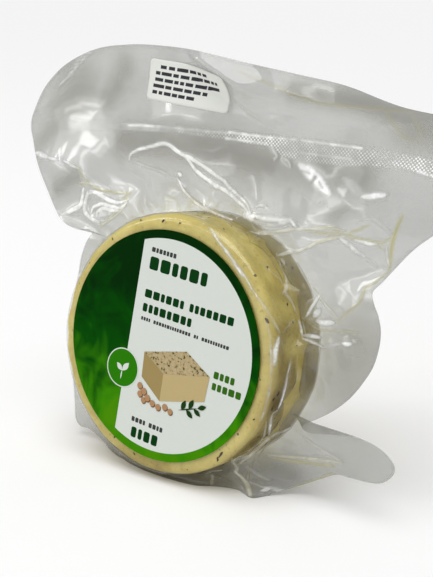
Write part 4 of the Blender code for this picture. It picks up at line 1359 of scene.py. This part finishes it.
# Rows of marks: left and right ends, from the top down
MARK_ROWS = ((-13.5, 8.0), (-15.5, 13.0), (-15.5, 14.0), (-16.0, 8.5), (-16.0, 3.5))
FIRST_MARKS = 4.9
MARKS_PITCH = 2.35
MARK_HALF_HEIGHT = 0.62
MARK_LIFT = 0.04
MARK_LENGTHS = (1.4, 5.5)
MARK_GAPS = (0.5, 1.1)
MARK_OVERHANG = 0.4
MARK_STEPS = 6


def on_sticker(x, y, lift):
    """Sticker millimetres to the wheel's: turn, shift, and follow the flap's wave and its wrinkle."""
    across = STICKER_ACROSS + x * math.cos(STICKER_TURN) - y * math.sin(STICKER_TURN)
    up = STICKER_UP + x * math.sin(STICKER_TURN) + y * math.cos(STICKER_TURN)
    past, share = wrinkle_place(across, up)
    length, run, rise = wrinkle_sheet()
    pulled = share * np.where(past > 0, np.interp(past, length, run) - past, 0.0)
    across = across + pulled * math.cos(WRINKLE_TURN)
    up = up + pulled * math.sin(WRINKLE_TURN)
    forward = STICKER_LIFT + lift + flap_wave(across, up) + share * np.interp(past, length, rise, left=0.0)
    return np.stack([across, up, forward], axis=-1)


def sticker_sheet():
    """A grid whose square is pressed into a rounded rectangle, drawn in at the corners."""
    columns, rows = STICKER_CELLS
    x, y = np.meshgrid(np.linspace(-1, 1, columns), np.linspace(1, -1, rows))
    half_width, half_height = STICKER_WIDTH / 2, STICKER_HEIGHT / 2
    x_mm, y_mm = x * half_width, y * half_height
    over_x = np.clip(np.abs(x_mm) - (half_width - STICKER_CORNER), 0, None)
    over_y = np.clip(np.abs(y_mm) - (half_height - STICKER_CORNER), 0, None)
    reach = np.hypot(over_x, over_y)
    square = np.maximum(over_x, over_y)
    pull = np.where(reach > 0, square / np.maximum(reach, 1e-9), 1.0)
    x_mm = x_mm - np.sign(x_mm) * over_x * (1 - pull)
    y_mm = y_mm - np.sign(y_mm) * over_y * (1 - pull)
    return on_sticker(x_mm, y_mm, 0.0)


def add_sticker():
    """The sheet, given its thickness backwards."""
    rows = sticker_sheet()
    faces = ring_faces(rows.shape[0], rows.shape[1], False)
    paper = satin_ink("sticker paper", STICKER_WHITE, 0.5)
    piece = build_piece("sticker_sheet", rows.reshape(-1, 3), faces, paper, "lot_sticker")
    thickness = piece.modifiers.new("thickness", "SOLIDIFY")
    thickness.thickness = STICKER_THICKNESS * MM
    thickness.offset = -1.0


def add_sticker_marks():
    """Five rows of short marks: seeded lengths along each row, each mark a thin curved strip."""
    draw = np.random.default_rng(8)
    points, faces = [], []
    for row, (left, right) in enumerate(MARK_ROWS):
        y = FIRST_MARKS - MARKS_PITCH * row
        x = left
        while x < right:
            length = min(draw.uniform(*MARK_LENGTHS), right - x + MARK_OVERHANG)
            steps = np.linspace(x, x + length, MARK_STEPS)
            strip = np.concatenate([
                on_sticker(steps, np.full(MARK_STEPS, y + MARK_HALF_HEIGHT), MARK_LIFT),
                on_sticker(steps, np.full(MARK_STEPS, y - MARK_HALF_HEIGHT), MARK_LIFT),
            ])
            base = sum(len(block) for block in points)
            firsts = range(base, base + MARK_STEPS - 1)
            faces += [(k, k + MARK_STEPS, k + MARK_STEPS + 1, k + 1) for k in firsts]
            points.append(strip)
            x += length + draw.uniform(*MARK_GAPS)
    ink = satin_ink("sticker ink", STICKER_INK, 0.55)
    build_piece("sticker_marks", np.concatenate(points), faces, ink, smooth=False)


add_sticker()
add_sticker_marks()

# Floor, light and camera
# A plain pale floor under a wide soft light from above, with three softboxes in front on the left.
# A plain, dimmer surround fills the shadows.
FLOOR_SIZE = 24.0
FLOOR_COLOUR = (0.94, 0.94, 0.94)
SURROUND = (1.0, 1.0, 1.0)
SURROUND_STRENGTH = 0.42
SKY_PLACE = (0.10, -0.20, 0.97)
SKY_POWER = 1.75
SKY_SPREAD = math.radians(50.0)
CAMERA_AZIMUTH = math.radians(35.43)
CAMERA_ELEVATION = math.radians(16.0)
CAMERA_DISTANCE = 0.4354
AIM_RIGHT = 0.01995
AIM_UP = 0.02103
LENS = 74.87

# Softboxes: name, place from the label's middle, width and height in metres, and power in watts
SOFTBOXES = (
    ("broad", (-0.85, -1.00, 0.45), 0.80, 0.50, 2.0),
    ("strip", (-0.75, -0.70, 0.60), 0.10, 0.60, 1.3),
    ("low strip", (-0.80, -1.05, 0.30), 0.60, 0.05, 0.35),
)

floor_mesh = bpy.data.meshes.new("floor")
half_floor = FLOOR_SIZE / 2
floor_corners = [(x * half_floor, y * half_floor, 0) for x, y in ((-1, -1), (1, -1), (1, 1), (-1, 1))]
floor_mesh.from_pydata(floor_corners, [], [(0, 1, 2, 3)])
floor_material, floor_nodes, floor_links, floor_output = new_material("pale floor")
floor_shader = floor_nodes.new("ShaderNodeBsdfPrincipled")
floor_shader.inputs["Base Color"].default_value = (*FLOOR_COLOUR, 1.0)
floor_shader.inputs["Roughness"].default_value = 0.8
floor_shader.inputs["Specular IOR Level"].default_value = 0.0
floor_links.new(floor_shader.outputs["BSDF"], floor_output.inputs["Surface"])
floor_mesh.materials.append(floor_material)
floor = bpy.data.objects.new("floor", floor_mesh)
bpy.context.collection.objects.link(floor)
floor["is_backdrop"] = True

middle = Vector(label_centre)
for name, place, width, height, power in SOFTBOXES:
    lamp_data = bpy.data.lights.new(name, "AREA")
    lamp_data.shape = "RECTANGLE"
    lamp_data.size = width
    lamp_data.size_y = height
    lamp_data.energy = power
    lamp = bpy.data.objects.new(name, lamp_data)
    lamp.location = middle + Vector(place)
    lamp.rotation_mode = "QUATERNION"
    lamp.rotation_quaternion = (-Vector(place)).to_track_quat("-Z", "Y")
    lamp.visible_camera = False
    bpy.context.collection.objects.link(lamp)

sky_data = bpy.data.lights.new("soft sky", "SUN")
sky_data.energy = SKY_POWER
sky_data.angle = SKY_SPREAD
sky = bpy.data.objects.new("soft sky", sky_data)
sky.rotation_mode = "QUATERNION"
sky.rotation_quaternion = (-Vector(SKY_PLACE)).to_track_quat("-Z", "Y")
bpy.context.collection.objects.link(sky)

world = bpy.data.worlds.new("surround")
world.use_nodes = True
surround = world.node_tree.nodes["Background"]
surround.inputs["Color"].default_value = (*SURROUND, 1.0)
surround.inputs["Strength"].default_value = SURROUND_STRENGTH
bpy.context.scene.world = world
bpy.context.scene.view_settings.view_transform = "Standard"

level = math.cos(CAMERA_ELEVATION)
back_along = Vector((
    math.sin(CAMERA_AZIMUTH) * level, -math.cos(CAMERA_AZIMUTH) * level, math.sin(CAMERA_ELEVATION),
))
right = Vector((math.cos(CAMERA_AZIMUTH), math.sin(CAMERA_AZIMUTH), 0.0))
aim = middle + AIM_RIGHT * right + AIM_UP * back_along.cross(right)
camera_data = bpy.data.cameras.new("camera")
camera_data.lens = LENS
camera_data.clip_start = 0.01
camera = bpy.data.objects.new("camera", camera_data)
camera.rotation_mode = "QUATERNION"
camera.location = aim + CAMERA_DISTANCE * back_along
camera.rotation_quaternion = (-back_along).to_track_quat("-Z", "Y")
bpy.context.collection.objects.link(camera)
bpy.context.scene.camera = camera

low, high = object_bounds()
